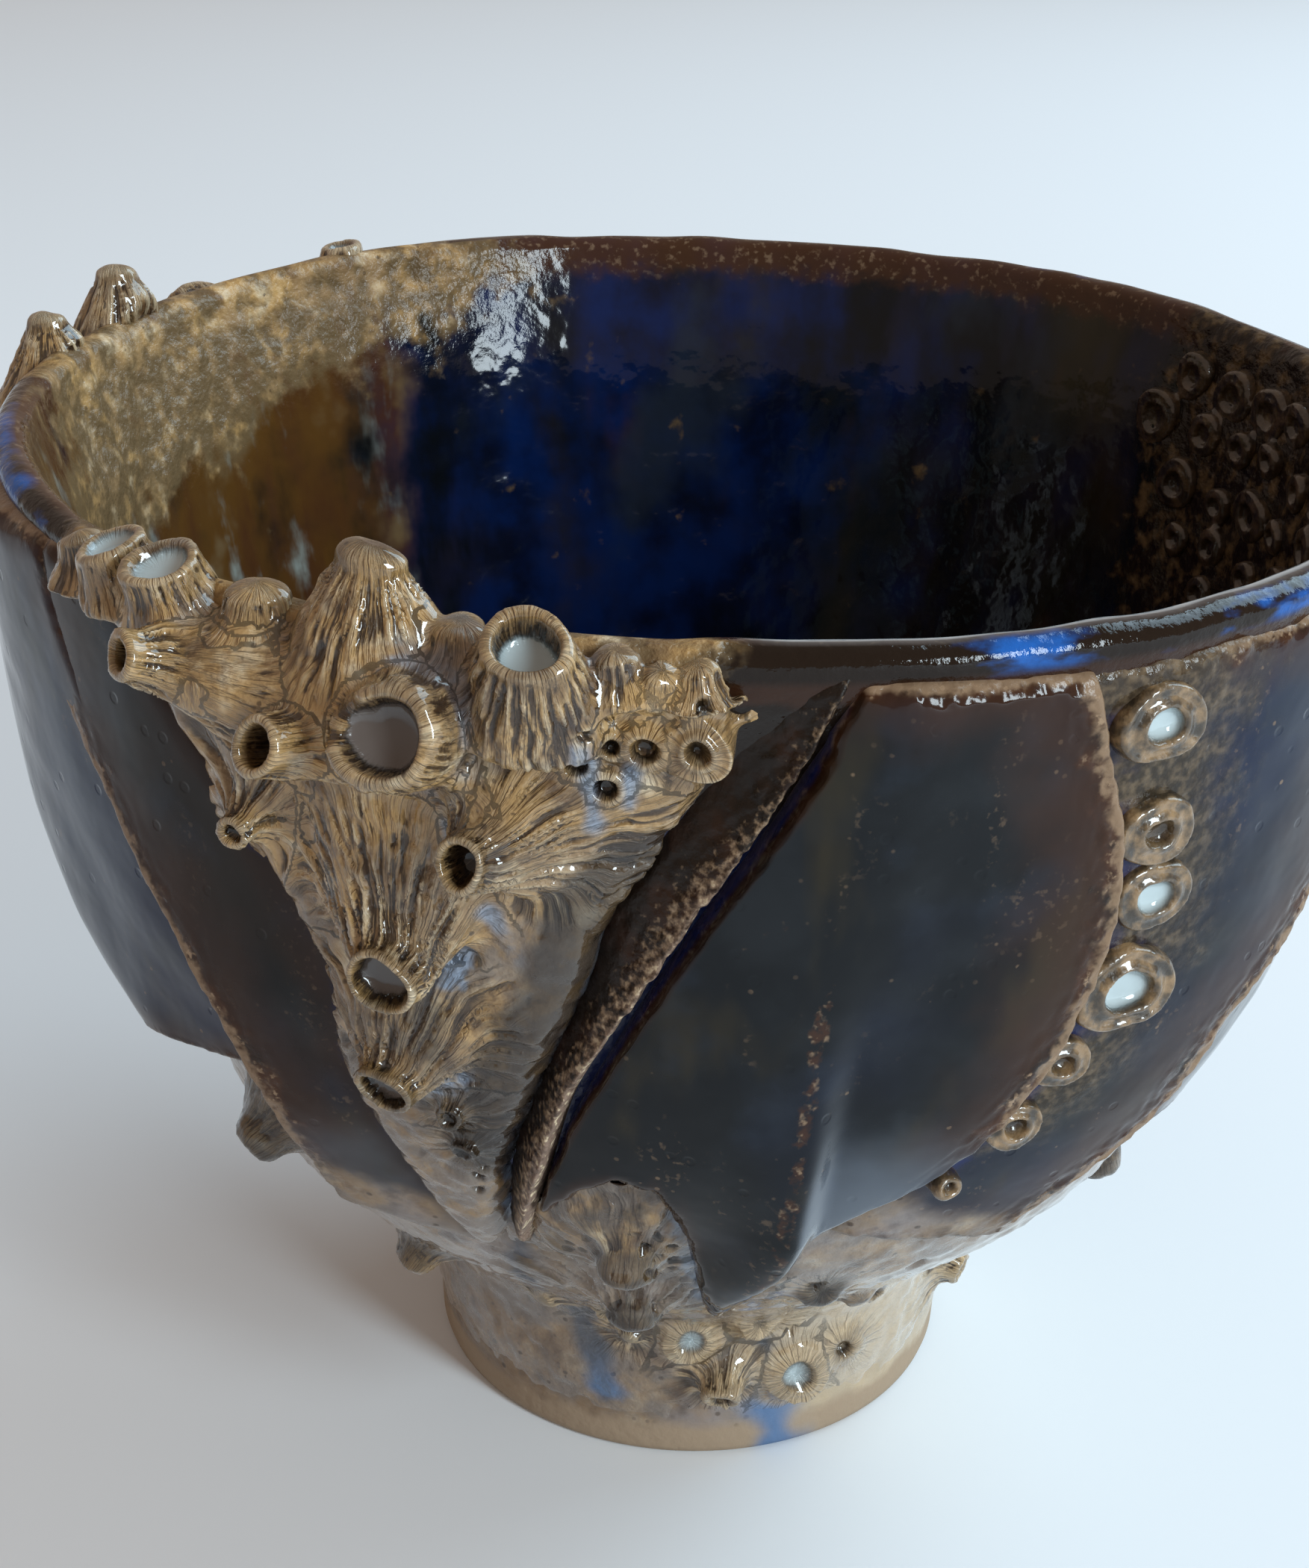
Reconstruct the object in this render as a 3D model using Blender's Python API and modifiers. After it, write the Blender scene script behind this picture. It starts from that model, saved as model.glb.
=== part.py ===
"""A hand-built stoneware bowl on a foot ring, grown over with limpets and barnacles.

Metres, +Z up. The bowl's axis is the Z axis and the foot ring stands on Z = 0. A place on the bowl is an
angle in degrees round that axis and a height: 0 degrees is the front (-Y), and angles grow towards +X.
Panels, crusts and barnacles were pressed on as wet clay and fired with the wall, so all is one solid.
"""

from math import atan2, cos, hypot, pi, radians, sin

import bmesh
import bpy
from mathutils import Vector

# Driving dimensions
MM = 0.001
RIM_RADIUS = 75 * MM
RIM_HEIGHT = 118 * MM
FOOT_RADIUS = 31 * MM
FOOT_RING_INNER = 24 * MM
FOOT_RECESS = 3.5 * MM
FLOOR_HEIGHT = 15 * MM
PANEL_STAND = 3 * MM

# Mesh densities
SPIN_STEPS = 44
PANEL_CELLS = (5, 8)
CRUST_CELLS = (4, 6)
BIG_SIDES = 10
SMALL_SIDES = 8
SMALL_RADIUS = 2.2 * MM

# How deep an added piece reaches into the wall, and how close it may come to the wall's far side
BITE = 2 * MM
COVER = 1 * MM
ROOT_DEPTH = 3.5 * MM
MOST_SPREAD = 1.5 * MM

# The rounded top of a closed limpet: its size and height as shares of the cone's end radius
APEX_SHARE = 0.5
APEX_RISE = 0.4

# Outer skin of the finished bowl, as (height, radius): the foot, the flare over it, and the wall to the rim
SKIN = (
    (0, FOOT_RADIUS),
    (10 * MM, 31.5 * MM),
    (20 * MM, 33 * MM),
    (26 * MM, 38 * MM),
    (32 * MM, 44.5 * MM),
    (40 * MM, 52.2 * MM),
    (50 * MM, 59.3 * MM),
    (62 * MM, 65.3 * MM),
    (78 * MM, 70 * MM),
    (98 * MM, 73 * MM),
    (RIM_HEIGHT, RIM_RADIUS),
)

# Inside of the wall, from the floor to the lip
INSIDE = (
    (FLOOR_HEIGHT, 0),
    (16 * MM, 12 * MM),
    (20 * MM, 22.5 * MM),
    (26 * MM, 31 * MM),
    (34 * MM, 40 * MM),
    (44 * MM, 47.2 * MM),
    (56 * MM, 54.6 * MM),
    (70 * MM, 60 * MM),
    (88 * MM, 64.6 * MM),
    (104 * MM, 67.6 * MM),
    (RIM_HEIGHT - 1.5 * MM, RIM_RADIUS - 4 * MM),
)

# Leaf-shaped panels: left and right edges from top to bottom as (degrees, mm), and how far the panel stands
# out of the skin in mm, from its left edge to its right edge, at the top and at the bottom
PANELS = {
    "front_right": (
        ((8, 115), (4, 103), (-2, 92), (-7, 79), (-12, 67), (-9, 58), (-3, 50)),
        ((24, 114), (28, 101), (29, 91), (28, 81), (25, 71), (20, 62), (11, 54)),
        (1.5, 1, 1, 1, 1.5),
        (3, 3, 1, 3.5, 2.5),
    ),
    "front_fold": (
        ((-1, 89), (-6, 79), (-11, 68), (-10, 61), (-6, 53), (-2.5, 44), (0, 35), (1.5, 27)),
        ((7, 89), (6, 79), (5, 69), (4.5, 61), (4, 53), (4, 44), (4, 35), (4, 27)),
        (0, 1, 1, 0),
        (2.5, 5, 3.5, 0),
    ),
    "right": (
        ((21, 114), (25, 101), (26, 90), (24, 79), (20, 69), (15, 60), (11, 51)),
        ((57, 114), (60, 101), (61, 90), (60, 78), (57, 66), (49, 54), (31, 45)),
        (0, 0.5, 0.5, 1),
        (-1, 0.5, 2, 2.5),
    ),
    "far_right": (
        ((53, 114), (56, 100), (57, 87), (56, 75), (52, 62), (44, 50)),
        ((84, 114), (86, 100), (87, 86), (85, 73), (79, 59), (66, 45)),
        (0, 0.5, 0.5, 1),
        (-1, 1, 2, 2.5),
    ),
    "front_left": (
        ((-59, 115), (-56, 103), (-50, 92), (-44, 80), (-40, 68), (-38, 56), (-37, 46)),
        ((-44, 115), (-37, 103), (-31, 92), (-27, 80), (-27, 68), (-24, 56), (-20, 42)),
        (1.5, 1, 0.5, 0.5),
        (3.5, 2, 0.5, 0),
    ),
    "left": (
        ((-97, 114), (-96, 101), (-92, 89), (-86, 77), (-77, 66), (-64, 58)),
        ((-54, 115), (-50, 103), (-45, 92), (-39, 81), (-36, 72), (-35, 66)),
        (2, 3, 3, 1.5),
        (1.5, 4, 2, 0.5),
    ),
}

# The three panels behind are one leaf turned in equal steps: the angle that each one's left edge starts at
BACK_LEAF = (
    ((0, 114), (-3, 101), (-7, 88), (-13, 75), (-20, 62), (-27, 47)),
    ((34, 114), (32, 101), (29, 88), (24, 75), (15, 61), (-2, 44)),
    (1, 1, 1, 1.5),
    (0.5, 3, 2, 3),
)
BACK_LEAF_TURNS = {"back_right": 118, "back": 149, "back_left": 180}

# Crusts of clay under the barnacles, drawn and raised in the same way
CRUSTS = {
    "front_crust": (
        ((-49, 116), (-42, 104), (-35, 93), (-31, 82), (-31, 70), (-28, 57), (-25, 44)),
        ((2, 116), (0, 107), (-6, 95), (-9, 84), (-13, 72), (-17, 60), (-20, 46)),
        (0, 0.5, 0.5, 0),
        (0, 0.5, 0.5, 0),
    ),
    "back_left_crust": (
        ((-150, 116), (-144, 103), (-136, 90), (-130, 77), (-125, 64), (-121, 50)),
        ((-91, 116), (-93, 103), (-97, 90), (-101, 77), (-105, 64), (-109, 50)),
        (0, 0.5, 0.5, 0),
        (0, 0.5, 0.5, 0),
    ),
    "right_crust": (
        ((80, 116), (82, 103), (83, 90), (83, 77), (81, 64), (77, 50)),
        ((126, 116), (121, 103), (115, 90), (109, 77), (102, 64), (94, 50)),
        (0, 0.5, 0.5, 0),
        (0, 0.5, 0.5, 0),
    ),
}

# Barnacles, in degrees and mm: the root's place on the skin, then the mouth's place and how far it stands out
# of the skin, then the radii of root, mouth and hole and the hole's depth. A closed limpet has no hole.
BARNACLES = {
    "limpet_rim": ((-23.8, 112.5), (-22.4, 124, 1), (11, 3.8, 0, 0)),
    "crater_rim": ((-12.2, 110), (-11.2, 120.5, 5), (9.5, 5, 2.8, 3)),
    "broken_ring": ((-20.4, 109.5), (-19.2, 112, 6), (8, 4.8, 2.8, 3)),
    "side_tube": ((-24.5, 106.5), (-27.6, 108.8, 8.5), (5, 3, 1.6, 3)),
    "pointing_cone": ((-31.5, 111), (-36.3, 115, 9), (7, 2.3, 1, 2)),
    "rim_ring_left": ((-43.6, 115), (-43.8, 120.5, 1.5), (5.2, 3.6, 2.2, 1.5)),
    "rim_ring_right": ((-38.2, 114), (-38.2, 120.5, 2), (5.4, 3.6, 2.2, 1.5)),
    "cone_upper": ((-12, 101.5), (-15, 101, 8), (9, 2.6, 1.6, 3)),
    "cone_middle": ((-23.4, 93.5), (-20.6, 88, 8), (9.4, 3.2, 2.4, 3)),
    "cone_lower": ((-22.5, 78), (-23.3, 73.5, 6), (8, 2.9, 2.1, 2.5)),
    "shoulder_lump": ((-33.5, 98), (-33.4, 96.5, 3), (5.5, 2.5, 0, 0)),
    "bud_upper": ((-20, 68.8), (-20, 68.2, 2), (3, 1.5, 0.7, 1)),
    "bud_lower": ((-19.4, 64.4), (-19.4, 63.8, 2), (2.8, 1.4, 0.7, 1)),
    "crust_ring_a": ((-9, 109), (-9, 109, 1.6), (2.4, 1.5, 0.8, 1)),
    "crust_ring_b": ((-7.1, 106.4), (-7.1, 106.4, 1.6), (2.4, 1.5, 0.8, 1)),
    "crust_ring_c": ((-4.9, 109.9), (-4.9, 109.9, 1.6), (2.7, 1.8, 1, 1.2)),
    "crust_ring_d": ((-1.8, 110.3), (-1.9, 110.3, 2.6), (4, 2.7, 1.2, 1.8)),
    "row_a": ((29.8, 109), (29.6, 109, 2), (4.2, 3.2, 1.5, 1.4)),
    "row_b": ((31.4, 97.8), (31.3, 97.8, 2), (3.8, 2.8, 1.3, 1.3)),
    "row_c": ((32.3, 90.6), (32.2, 90.6, 2), (3.9, 3, 1.6, 1.4)),
    "row_d": ((31.4, 81), (31.2, 80.8, 3), (5, 3.8, 2.1, 1.8)),
    "row_e": ((27.6, 73.4), (27.4, 73.2, 2.4), (3.2, 2.1, 1, 1.2)),
    "row_f": ((24.4, 66.6), (24.2, 66.4, 2.4), (3, 2, 1, 1.2)),
    "foot_gills": ((-9, 34), (-8, 31, 2.5), (5.5, 3.4, 1.4, 2)),
    "foot_ring": ((-0.4, 18), (-0.4, 18, 2), (3.2, 2.1, 1.1, 1.2)),
    "foot_cone": ((7, 13.5), (5.2, 11.8, 4.5), (4.6, 2.3, 1.1, 2)),
    "foot_pool": ((21.5, 12), (21.5, 12, 2), (3.7, 2.6, 1.5, 1.4)),
    "foot_blob": ((24, 30), (24, 29.5, 2), (3.6, 2, 0, 0)),
    "foot_left": ((-42, 31), (-44, 28, 5), (5.5, 2.7, 1.4, 2)),
    "wall_left": ((-43, 55), (-45, 52, 4), (6, 3.2, 1.7, 2)),
    "rear_ring": ((167, 108), (167, 108.5, 3), (5, 3.6, 2, 1.6)),
    "rear_cone": ((175, 101), (177, 97.5, 8), (9, 3, 2.1, 3)),
    "rear_small_a": ((168, 93), (168, 93, 2.4), (3.8, 2.4, 1.2, 1.4)),
    "rear_small_b": ((162, 84), (162, 84, 2.4), (3.4, 2.1, 1, 1.2)),
    "back_limpet_a": ((-112, 113), (-112, 123.5, 0), (8, 3.2, 0, 0)),
    "back_limpet_b": ((-100.5, 113), (-100.5, 121.5, 0.5), (7.5, 3, 0, 0)),
    "back_rim_bump": ((-141, 114), (-141, 120, 0), (5.5, 3, 1.6, 1.2)),
    "back_crater": ((-125, 110), (-126, 115, 6), (8.5, 4.6, 2.7, 3)),
    "back_ring": ((-113, 101), (-112, 101, 5), (8, 4.5, 2.6, 2.5)),
    "back_tube": ((-136, 104), (-140, 105, 6), (5.5, 2.8, 1.5, 2.5)),
    "back_cone_a": ((-122, 93), (-119, 88, 7), (9, 3.1, 2.2, 3)),
    "back_cone_b": ((-113, 83), (-110, 77.5, 6), (8, 2.9, 2, 2.5)),
    "back_cone_c": ((-119, 71), (-118, 66, 5), (6.5, 2.6, 1.8, 2.2)),
    "back_side_cone": ((-98, 103), (-95.5, 99.5, 6.5), (8, 3, 2, 2.6)),
    "back_small_a": ((-103, 94), (-103, 94, 2.4), (3.8, 2.4, 1.2, 1.4)),
    "back_small_b": ((-115, 60), (-115, 59.5, 2), (3.2, 1.9, 1, 1.2)),
    "back_foot": ((-150, 13), (-150, 12, 3), (4.6, 2.6, 1.4, 1.6)),
    "right_crater": ((97, 109), (97, 114.5, 3), (8.5, 4.5, 2.7, 3)),
    "right_ring": ((108, 103), (108, 104, 4), (7.5, 4.4, 2.6, 2.2)),
    "right_cone_a": ((97, 97), (99, 92.5, 6), (8.5, 3, 2.1, 3)),
    "right_cone_b": ((92, 83), (92, 77.5, 6), (8, 2.9, 2, 2.5)),
    "right_cone_c": ((94, 68), (93, 63, 5), (6.5, 2.6, 1.8, 2.2)),
    "right_small_a": ((113, 93), (113, 93, 2.4), (3.8, 2.4, 1.2, 1.4)),
    "right_small_b": ((105, 84), (105, 84, 2.4), (3.6, 2.3, 1.1, 1.4)),
    "right_small_c": ((87, 109), (87, 109.5, 2.2), (3.8, 2.5, 1.3, 1.4)),
    "right_foot": ((70, 14), (70, 13, 3.5), (4.8, 2.5, 1.3, 1.8)),
    "right_wall_lump": ((64, 38), (65, 35, 3), (5.2, 2.9, 1.5, 1.8)),
}

# Rings pressed on the inside of the wall: place in degrees and mm, and outer radius in mm
INNER_RINGS = (
    (94, 108, 2.8),
    (101, 111, 2.4),
    (107, 106, 3),
    (99, 100, 2.6),
    (106, 95, 2.6),
    (114, 101, 2.4),
    (-112, 108, 2.6),
    (-122, 106, 2.4),
)
INNER_RING_STAND = 1.6 * MM
INNER_RING_HOLE_SHARE = 0.55

# Glaze on the turned wall and panels, bare buff clay on the crusts and barnacles
GLAZE = ("slate_glaze", (0.045, 0.055, 0.075), 0.15)
CLAY = ("buff_stoneware", (0.42, 0.31, 0.2), 0.55)


def smooth_step(low, high, x):
    t = min(max((x - low) / (high - low), 0), 1)
    return t * t * (3 - 2 * t)


def curve_at(points, x):
    """The value at x of a smooth curve through (x, value) points, as a cubic with the points' mean slopes."""
    x = min(max(x, points[0][0]), points[-1][0])
    i = next(k for k in range(1, len(points)) if x <= points[k][0])

    def slope(k):
        before, after = points[max(k - 1, 0)], points[min(k + 1, len(points) - 1)]
        return (after[1] - before[1]) / (after[0] - before[0])

    (x0, y0), (x1, y1) = points[i - 1], points[i]
    step = x1 - x0
    t = (x - x0) / step
    return (
        (1 + 2 * t) * (1 - t) ** 2 * y0
        + t * (1 - t) ** 2 * step * slope(i - 1)
        + t * t * (3 - 2 * t) * y1
        + t * t * (t - 1) * step * slope(i)
    )


def skin_radius(height):
    return curve_at(SKIN, height)


def inner_radius(height):
    return curve_at(INSIDE, height)


def wall_radius(height):
    """Outside of the turned wall, which the panels stand on: PANEL_STAND under the skin along its middle."""
    low = smooth_step(38 * MM, 56 * MM, height)
    high = 1 - smooth_step(104 * MM, 117 * MM, height)
    return skin_radius(height) - PANEL_STAND * low * high


def place(angle, height, radius):
    a = radians(angle)
    return Vector((radius * sin(a), -radius * cos(a), height))


def edge_at(points, v):
    """The (angle, height) on a panel's edge, v from 0 at its top to 1 at its bottom."""
    along = [(k / (len(points) - 1), p) for k, p in enumerate(points)]
    angle = curve_at([(t, p[0]) for t, p in along], v)
    height = curve_at([(t, p[1] * MM) for t, p in along], v)
    return angle, height


def new_object(name, bm, collection, material):
    mesh = bpy.data.meshes.new(name)
    bm.to_mesh(mesh)
    bm.free()
    obj = bpy.data.objects.new(name, mesh)
    mesh.materials.append(material)
    collection.objects.link(obj)
    return obj


def principled(name, colour, roughness):
    material = bpy.data.materials.new(name)
    material.use_nodes = True
    shader = material.node_tree.nodes["Principled BSDF"]
    shader.inputs["Base Color"].default_value = (*colour, 1)
    shader.inputs["Roughness"].default_value = roughness
    shader.inputs["Metallic"].default_value = 0
    return material


def rim_rise(angle):
    """The rim was cut by hand, so it rises and dips by under a millimetre."""
    a = radians(angle)
    return (0.45 * sin(2 * a + 0.6) + 0.3 * sin(5 * a + 2)) * MM


def turned_wall(collection, material):
    """The wall, foot ring and floor as one profile turned about the axis, then given the rim's slight wave."""
    outer_heights = (116.5, 110, 102, 92, 81, 70, 59, 49, 41, 34, 28, 22, 12)
    profile = [(r, z) for z, r in INSIDE]
    profile.append((RIM_RADIUS - 2.2 * MM, RIM_HEIGHT + 0.3 * MM))
    profile.append((RIM_RADIUS - 0.6 * MM, RIM_HEIGHT - 0.1 * MM))
    profile += [(wall_radius(h * MM), h * MM) for h in outer_heights]
    profile += [
        (FOOT_RADIUS, 0),
        (FOOT_RING_INNER, 0),
        (FOOT_RING_INNER - 1 * MM, FOOT_RECESS),
        (0, FOOT_RECESS),
    ]
    bm = bmesh.new()
    corners = [bm.verts.new((r, 0, z)) for r, z in profile]
    for a, b in zip(corners, corners[1:]):
        bm.edges.new((a, b))
    guide = new_object("wall_profile", bm, collection, material)
    screw = guide.modifiers.new("turn", "SCREW")
    screw.steps = screw.render_steps = SPIN_STEPS
    screw.use_merge_vertices = True
    screw.merge_threshold = 0.0001
    graph = bpy.context.evaluated_depsgraph_get()
    mesh = bpy.data.meshes.new_from_object(guide.evaluated_get(graph))
    bpy.data.objects.remove(guide)
    for vertex in mesh.vertices:
        angle = atan2(vertex.co.x, -vertex.co.y) * 180 / pi
        vertex.co.z += rim_rise(angle) * smooth_step(80 * MM, RIM_HEIGHT, vertex.co.z)
    bowl = bpy.data.objects.new("bowl", mesh)
    mesh.name = "bowl"
    collection.objects.link(bowl)
    return bowl


def clay_patch(name, left, right, top_stand, low_stand, cells, collection, material, turn=0):
    """A patch between two edges: a grid bent over the skin, then thickened down into the wall."""
    bm = bmesh.new()
    bmesh.ops.create_grid(bm, x_segments=cells[0], y_segments=cells[1], size=1)
    for vertex in bm.verts:
        u, v = (vertex.co.x + 1) / 2, (1 - vertex.co.y) / 2
        (a0, z0), (a1, z1) = edge_at(left, v), edge_at(right, v)
        angle, height = a0 + (a1 - a0) * u + turn, z0 + (z1 - z0) * u
        top = curve_at([(k / (len(top_stand) - 1), s) for k, s in enumerate(top_stand)], u)
        low = curve_at([(k / (len(low_stand) - 1), s) for k, s in enumerate(low_stand)], u)
        stand = (top + (low - top) * smooth_step(0, 0.75, v)) * MM
        vertex.co = place(angle, height, skin_radius(height) + stand)
    made = bmesh.ops.extrude_face_region(bm, geom=bm.faces[:])
    for vertex in (g for g in made["geom"] if isinstance(g, bmesh.types.BMVert)):
        height = vertex.co.z
        angle = atan2(vertex.co.x, -vertex.co.y) * 180 / pi
        vertex.co = place(angle, height, wall_radius(height) - BITE)
    bmesh.ops.recalc_face_normals(bm, faces=bm.faces)
    return new_object(name, bm, collection, material)


def barnacle(name, root, mouth, radii, collection, material, inward=False):
    """A truncated cone from inside the wall to its mouth, with a hole sunk in the end if it is open."""
    root_radius, mouth_radius, hole_radius, hole_depth = (r * MM for r in radii)
    sides = SMALL_SIDES if mouth_radius < SMALL_RADIUS else BIG_SIDES
    face = inner_radius if inward else skin_radius
    out = -mouth[2] * MM if inward else mouth[2] * MM
    start = place(root[0], root[1] * MM, face(root[1] * MM))
    end = place(mouth[0], mouth[1] * MM, face(mouth[1] * MM) + out)
    axis = (end - start).normalized()
    length = (end - start).length + ROOT_DEPTH
    foot_spread = (root_radius - mouth_radius) * ROOT_DEPTH / (end - start).length
    bm = bmesh.new()
    bmesh.ops.create_cone(
        bm,
        cap_ends=True,
        segments=sides,
        radius1=root_radius + min(foot_spread, MOST_SPREAD),
        radius2=mouth_radius,
        depth=length,
    )
    bmesh.ops.translate(bm, verts=bm.verts, vec=(0, 0, length / 2 - ROOT_DEPTH))
    ends = sorted((f for f in bm.faces if len(f.verts) == sides), key=lambda f: f.calc_center_median().z)
    root_ring, lip = set(ends[0].verts), ends[-1]
    inner = hole_radius or mouth_radius * APEX_SHARE
    sink = -hole_depth if hole_radius else mouth_radius * APEX_RISE
    bmesh.ops.inset_region(bm, faces=[lip], thickness=(mouth_radius - inner) * cos(pi / sides))
    bmesh.ops.translate(bm, verts=lip.verts, vec=(0, 0, sink))
    turn = axis.to_track_quat("Z", "Y").to_matrix().to_4x4()
    bmesh.ops.transform(bm, matrix=turn, verts=bm.verts)
    bmesh.ops.translate(bm, verts=bm.verts, vec=start)
    for vertex in bm.verts:
        radius, height = hypot(vertex.co.x, vertex.co.y), vertex.co.z
        near, far = inner_radius(height) + COVER, wall_radius(height) - COVER
        if inward:
            limit = max(radius, near) if vertex in root_ring else min(radius, far)
        else:
            limit = max(min(radius, far) if vertex in root_ring else radius, near)
        vertex.co.x *= limit / radius
        vertex.co.y *= limit / radius
    bmesh.ops.recalc_face_normals(bm, faces=bm.faces)
    return new_object(name, bm, collection, material)


def add_clay(collection, glaze, clay):
    """Everything pressed on the turned wall, as closed shapes that reach into it."""
    for name, (left, right, top, low) in PANELS.items():
        clay_patch(name, left, right, top, low, PANEL_CELLS, collection, glaze)
    for name, turn in BACK_LEAF_TURNS.items():
        clay_patch(name, *BACK_LEAF, PANEL_CELLS, collection, glaze, turn)
    for name, (left, right, top, low) in CRUSTS.items():
        clay_patch(name, left, right, top, low, CRUST_CELLS, collection, clay)
    for name, (root, mouth, radii) in BARNACLES.items():
        barnacle(name, root, mouth, radii, collection, clay)
    for k, (angle, height, radius) in enumerate(INNER_RINGS):
        radii = (radius + 0.6, radius, radius * INNER_RING_HOLE_SHARE, 1)
        mouth = (angle, height, INNER_RING_STAND / MM)
        barnacle(f"inner_ring_{k}", (angle, height), mouth, radii, collection, clay, inward=True)
    for obj in collection.objects:
        obj.hide_render = True
        obj.display_type = "WIRE"


def main():
    for obj in list(bpy.data.objects):
        bpy.data.objects.remove(obj)
    bowl_collection = bpy.data.collections.new("barnacle_bowl")
    added_collection = bpy.data.collections.new("added_clay")
    for collection in (bowl_collection, added_collection):
        bpy.context.scene.collection.children.link(collection)
    glaze, clay = principled(*GLAZE), principled(*CLAY)
    bowl = turned_wall(bowl_collection, glaze)
    add_clay(added_collection, glaze, clay)
    bowl.data.materials.append(clay)
    join = bowl.modifiers.new("join_added_clay", "BOOLEAN")
    join.operation = "UNION"
    join.solver = "EXACT"
    join.operand_type = "COLLECTION"
    join.collection = added_collection
    join.material_mode = "TRANSFER"


main()
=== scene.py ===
# %% [markdown]
# A hand-built stoneware bowl stands on a short foot. Leaf-shaped clay panels overlap round its wall, and
# limpets and barnacles are modelled on it in the same clay, then the whole bowl was glazed and fired
# once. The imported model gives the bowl's size and place, and every piece here is laid over it in the same
# metres.

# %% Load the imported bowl
from itertools import product
from math import cos, pi, radians, sin

import bmesh
import bpy
from mathutils import Matrix, Vector
import numpy as np


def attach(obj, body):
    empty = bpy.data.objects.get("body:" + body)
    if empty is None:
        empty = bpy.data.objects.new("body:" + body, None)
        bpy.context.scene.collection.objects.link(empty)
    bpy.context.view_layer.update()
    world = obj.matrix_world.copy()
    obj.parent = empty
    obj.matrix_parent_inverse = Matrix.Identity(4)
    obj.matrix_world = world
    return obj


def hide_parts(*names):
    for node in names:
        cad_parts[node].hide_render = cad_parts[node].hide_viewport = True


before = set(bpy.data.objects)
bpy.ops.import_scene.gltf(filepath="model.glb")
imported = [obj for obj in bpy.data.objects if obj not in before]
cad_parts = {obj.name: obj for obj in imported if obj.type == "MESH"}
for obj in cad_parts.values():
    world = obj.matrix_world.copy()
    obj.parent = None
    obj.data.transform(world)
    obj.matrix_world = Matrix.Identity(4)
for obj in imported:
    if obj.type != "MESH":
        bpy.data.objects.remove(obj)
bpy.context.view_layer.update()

# %% [markdown]
# The turned form is known as a handful of heights and radii, as a potter's template would hold them. A
# place on the bowl is an angle round its axis, 0 at the front and growing to the right, and a height.

# %% The bowl's driving dimensions
MM = 0.001
RIM_RADIUS = 75 * MM
RIM_HEIGHT = 118 * MM
FOOT_RADIUS = 31 * MM
FOOT_RING_INNER = 24 * MM
FOOT_RECESS = 3.5 * MM
FLOOR_HEIGHT = 15 * MM
PANEL_STAND = 3 * MM
SKIN = (
    (0, FOOT_RADIUS),
    (10 * MM, 31.5 * MM),
    (20 * MM, 33 * MM),
    (26 * MM, 38 * MM),
    (32 * MM, 44.5 * MM),
    (40 * MM, 52.2 * MM),
    (50 * MM, 59.3 * MM),
    (62 * MM, 65.3 * MM),
    (78 * MM, 70 * MM),
    (98 * MM, 73 * MM),
    (RIM_HEIGHT, RIM_RADIUS),
)
INSIDE = (
    (FLOOR_HEIGHT, 0),
    (16 * MM, 12 * MM),
    (20 * MM, 22.5 * MM),
    (26 * MM, 31 * MM),
    (34 * MM, 40 * MM),
    (44 * MM, 47.2 * MM),
    (56 * MM, 54.6 * MM),
    (70 * MM, 60 * MM),
    (88 * MM, 64.6 * MM),
    (104 * MM, 67.6 * MM),
    (RIM_HEIGHT - 1.5 * MM, RIM_RADIUS - 4 * MM),
)


def smooth_step(low, high, x):
    t = np.clip((np.asarray(x, float) - low) / (high - low), 0, 1)
    return t * t * (3 - 2 * t)


def curve_at(points, x):
    """Values at x of a smooth curve through (x, value) points: a cubic with the points' mean slopes."""
    xs, ys = np.array(points, float).T
    x = np.clip(x, xs[0], xs[-1])
    i = np.clip(np.searchsorted(xs, x), 1, len(xs) - 1)
    before = np.maximum(np.arange(len(xs)) - 1, 0)
    after = np.minimum(np.arange(len(xs)) + 1, len(xs) - 1)
    slopes = (ys[after] - ys[before]) / (xs[after] - xs[before])
    step = xs[i] - xs[i - 1]
    t = (x - xs[i - 1]) / step
    rise = (1 + 2 * t) * (1 - t) ** 2 * ys[i - 1] + t * t * (3 - 2 * t) * ys[i]
    return rise + t * (1 - t) ** 2 * step * slopes[i - 1] + t * t * (t - 1) * step * slopes[i]


def skin_radius(height):
    return curve_at(SKIN, height)


def inner_radius(height):
    return curve_at(INSIDE, height)


def wall_radius(height):
    low = smooth_step(38 * MM, 56 * MM, height)
    high = 1 - smooth_step(104 * MM, 117 * MM, height)
    return skin_radius(height) - PANEL_STAND * low * high


def rim_rise(angle):
    a = np.radians(angle)
    return (0.45 * np.sin(2 * a + 0.6) + 0.3 * np.sin(5 * a + 2)) * MM


def placed(angle, height, radius):
    """Points at angles in degrees, heights and radii, as rows."""
    a = np.radians(angle)
    return np.stack([radius * np.sin(a), -radius * np.cos(a), height + 0 * a], -1)


def polar(points):
    """The angle in degrees, the height and the radius of each point."""
    angle = np.degrees(np.arctan2(points[:, 0], -points[:, 1]))
    return angle, points[:, 2], np.hypot(points[:, 0], points[:, 1])


print("wall at the middle:", float(wall_radius(78 * MM) - inner_radius(78 * MM)) / MM, "mm thick")

# %% [markdown]
# Hand-worked clay is never regular. One box of seeded random numbers, read smoothly between its cells,
# gives every lump, streak and crumb below, at whatever size is asked, and it is the same on each run.

# %% Clay lumps from one seeded box
CELLS = 64
LATTICE = np.random.default_rng(7).uniform(-1, 1, (CELLS, CELLS, CELLS))


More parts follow.
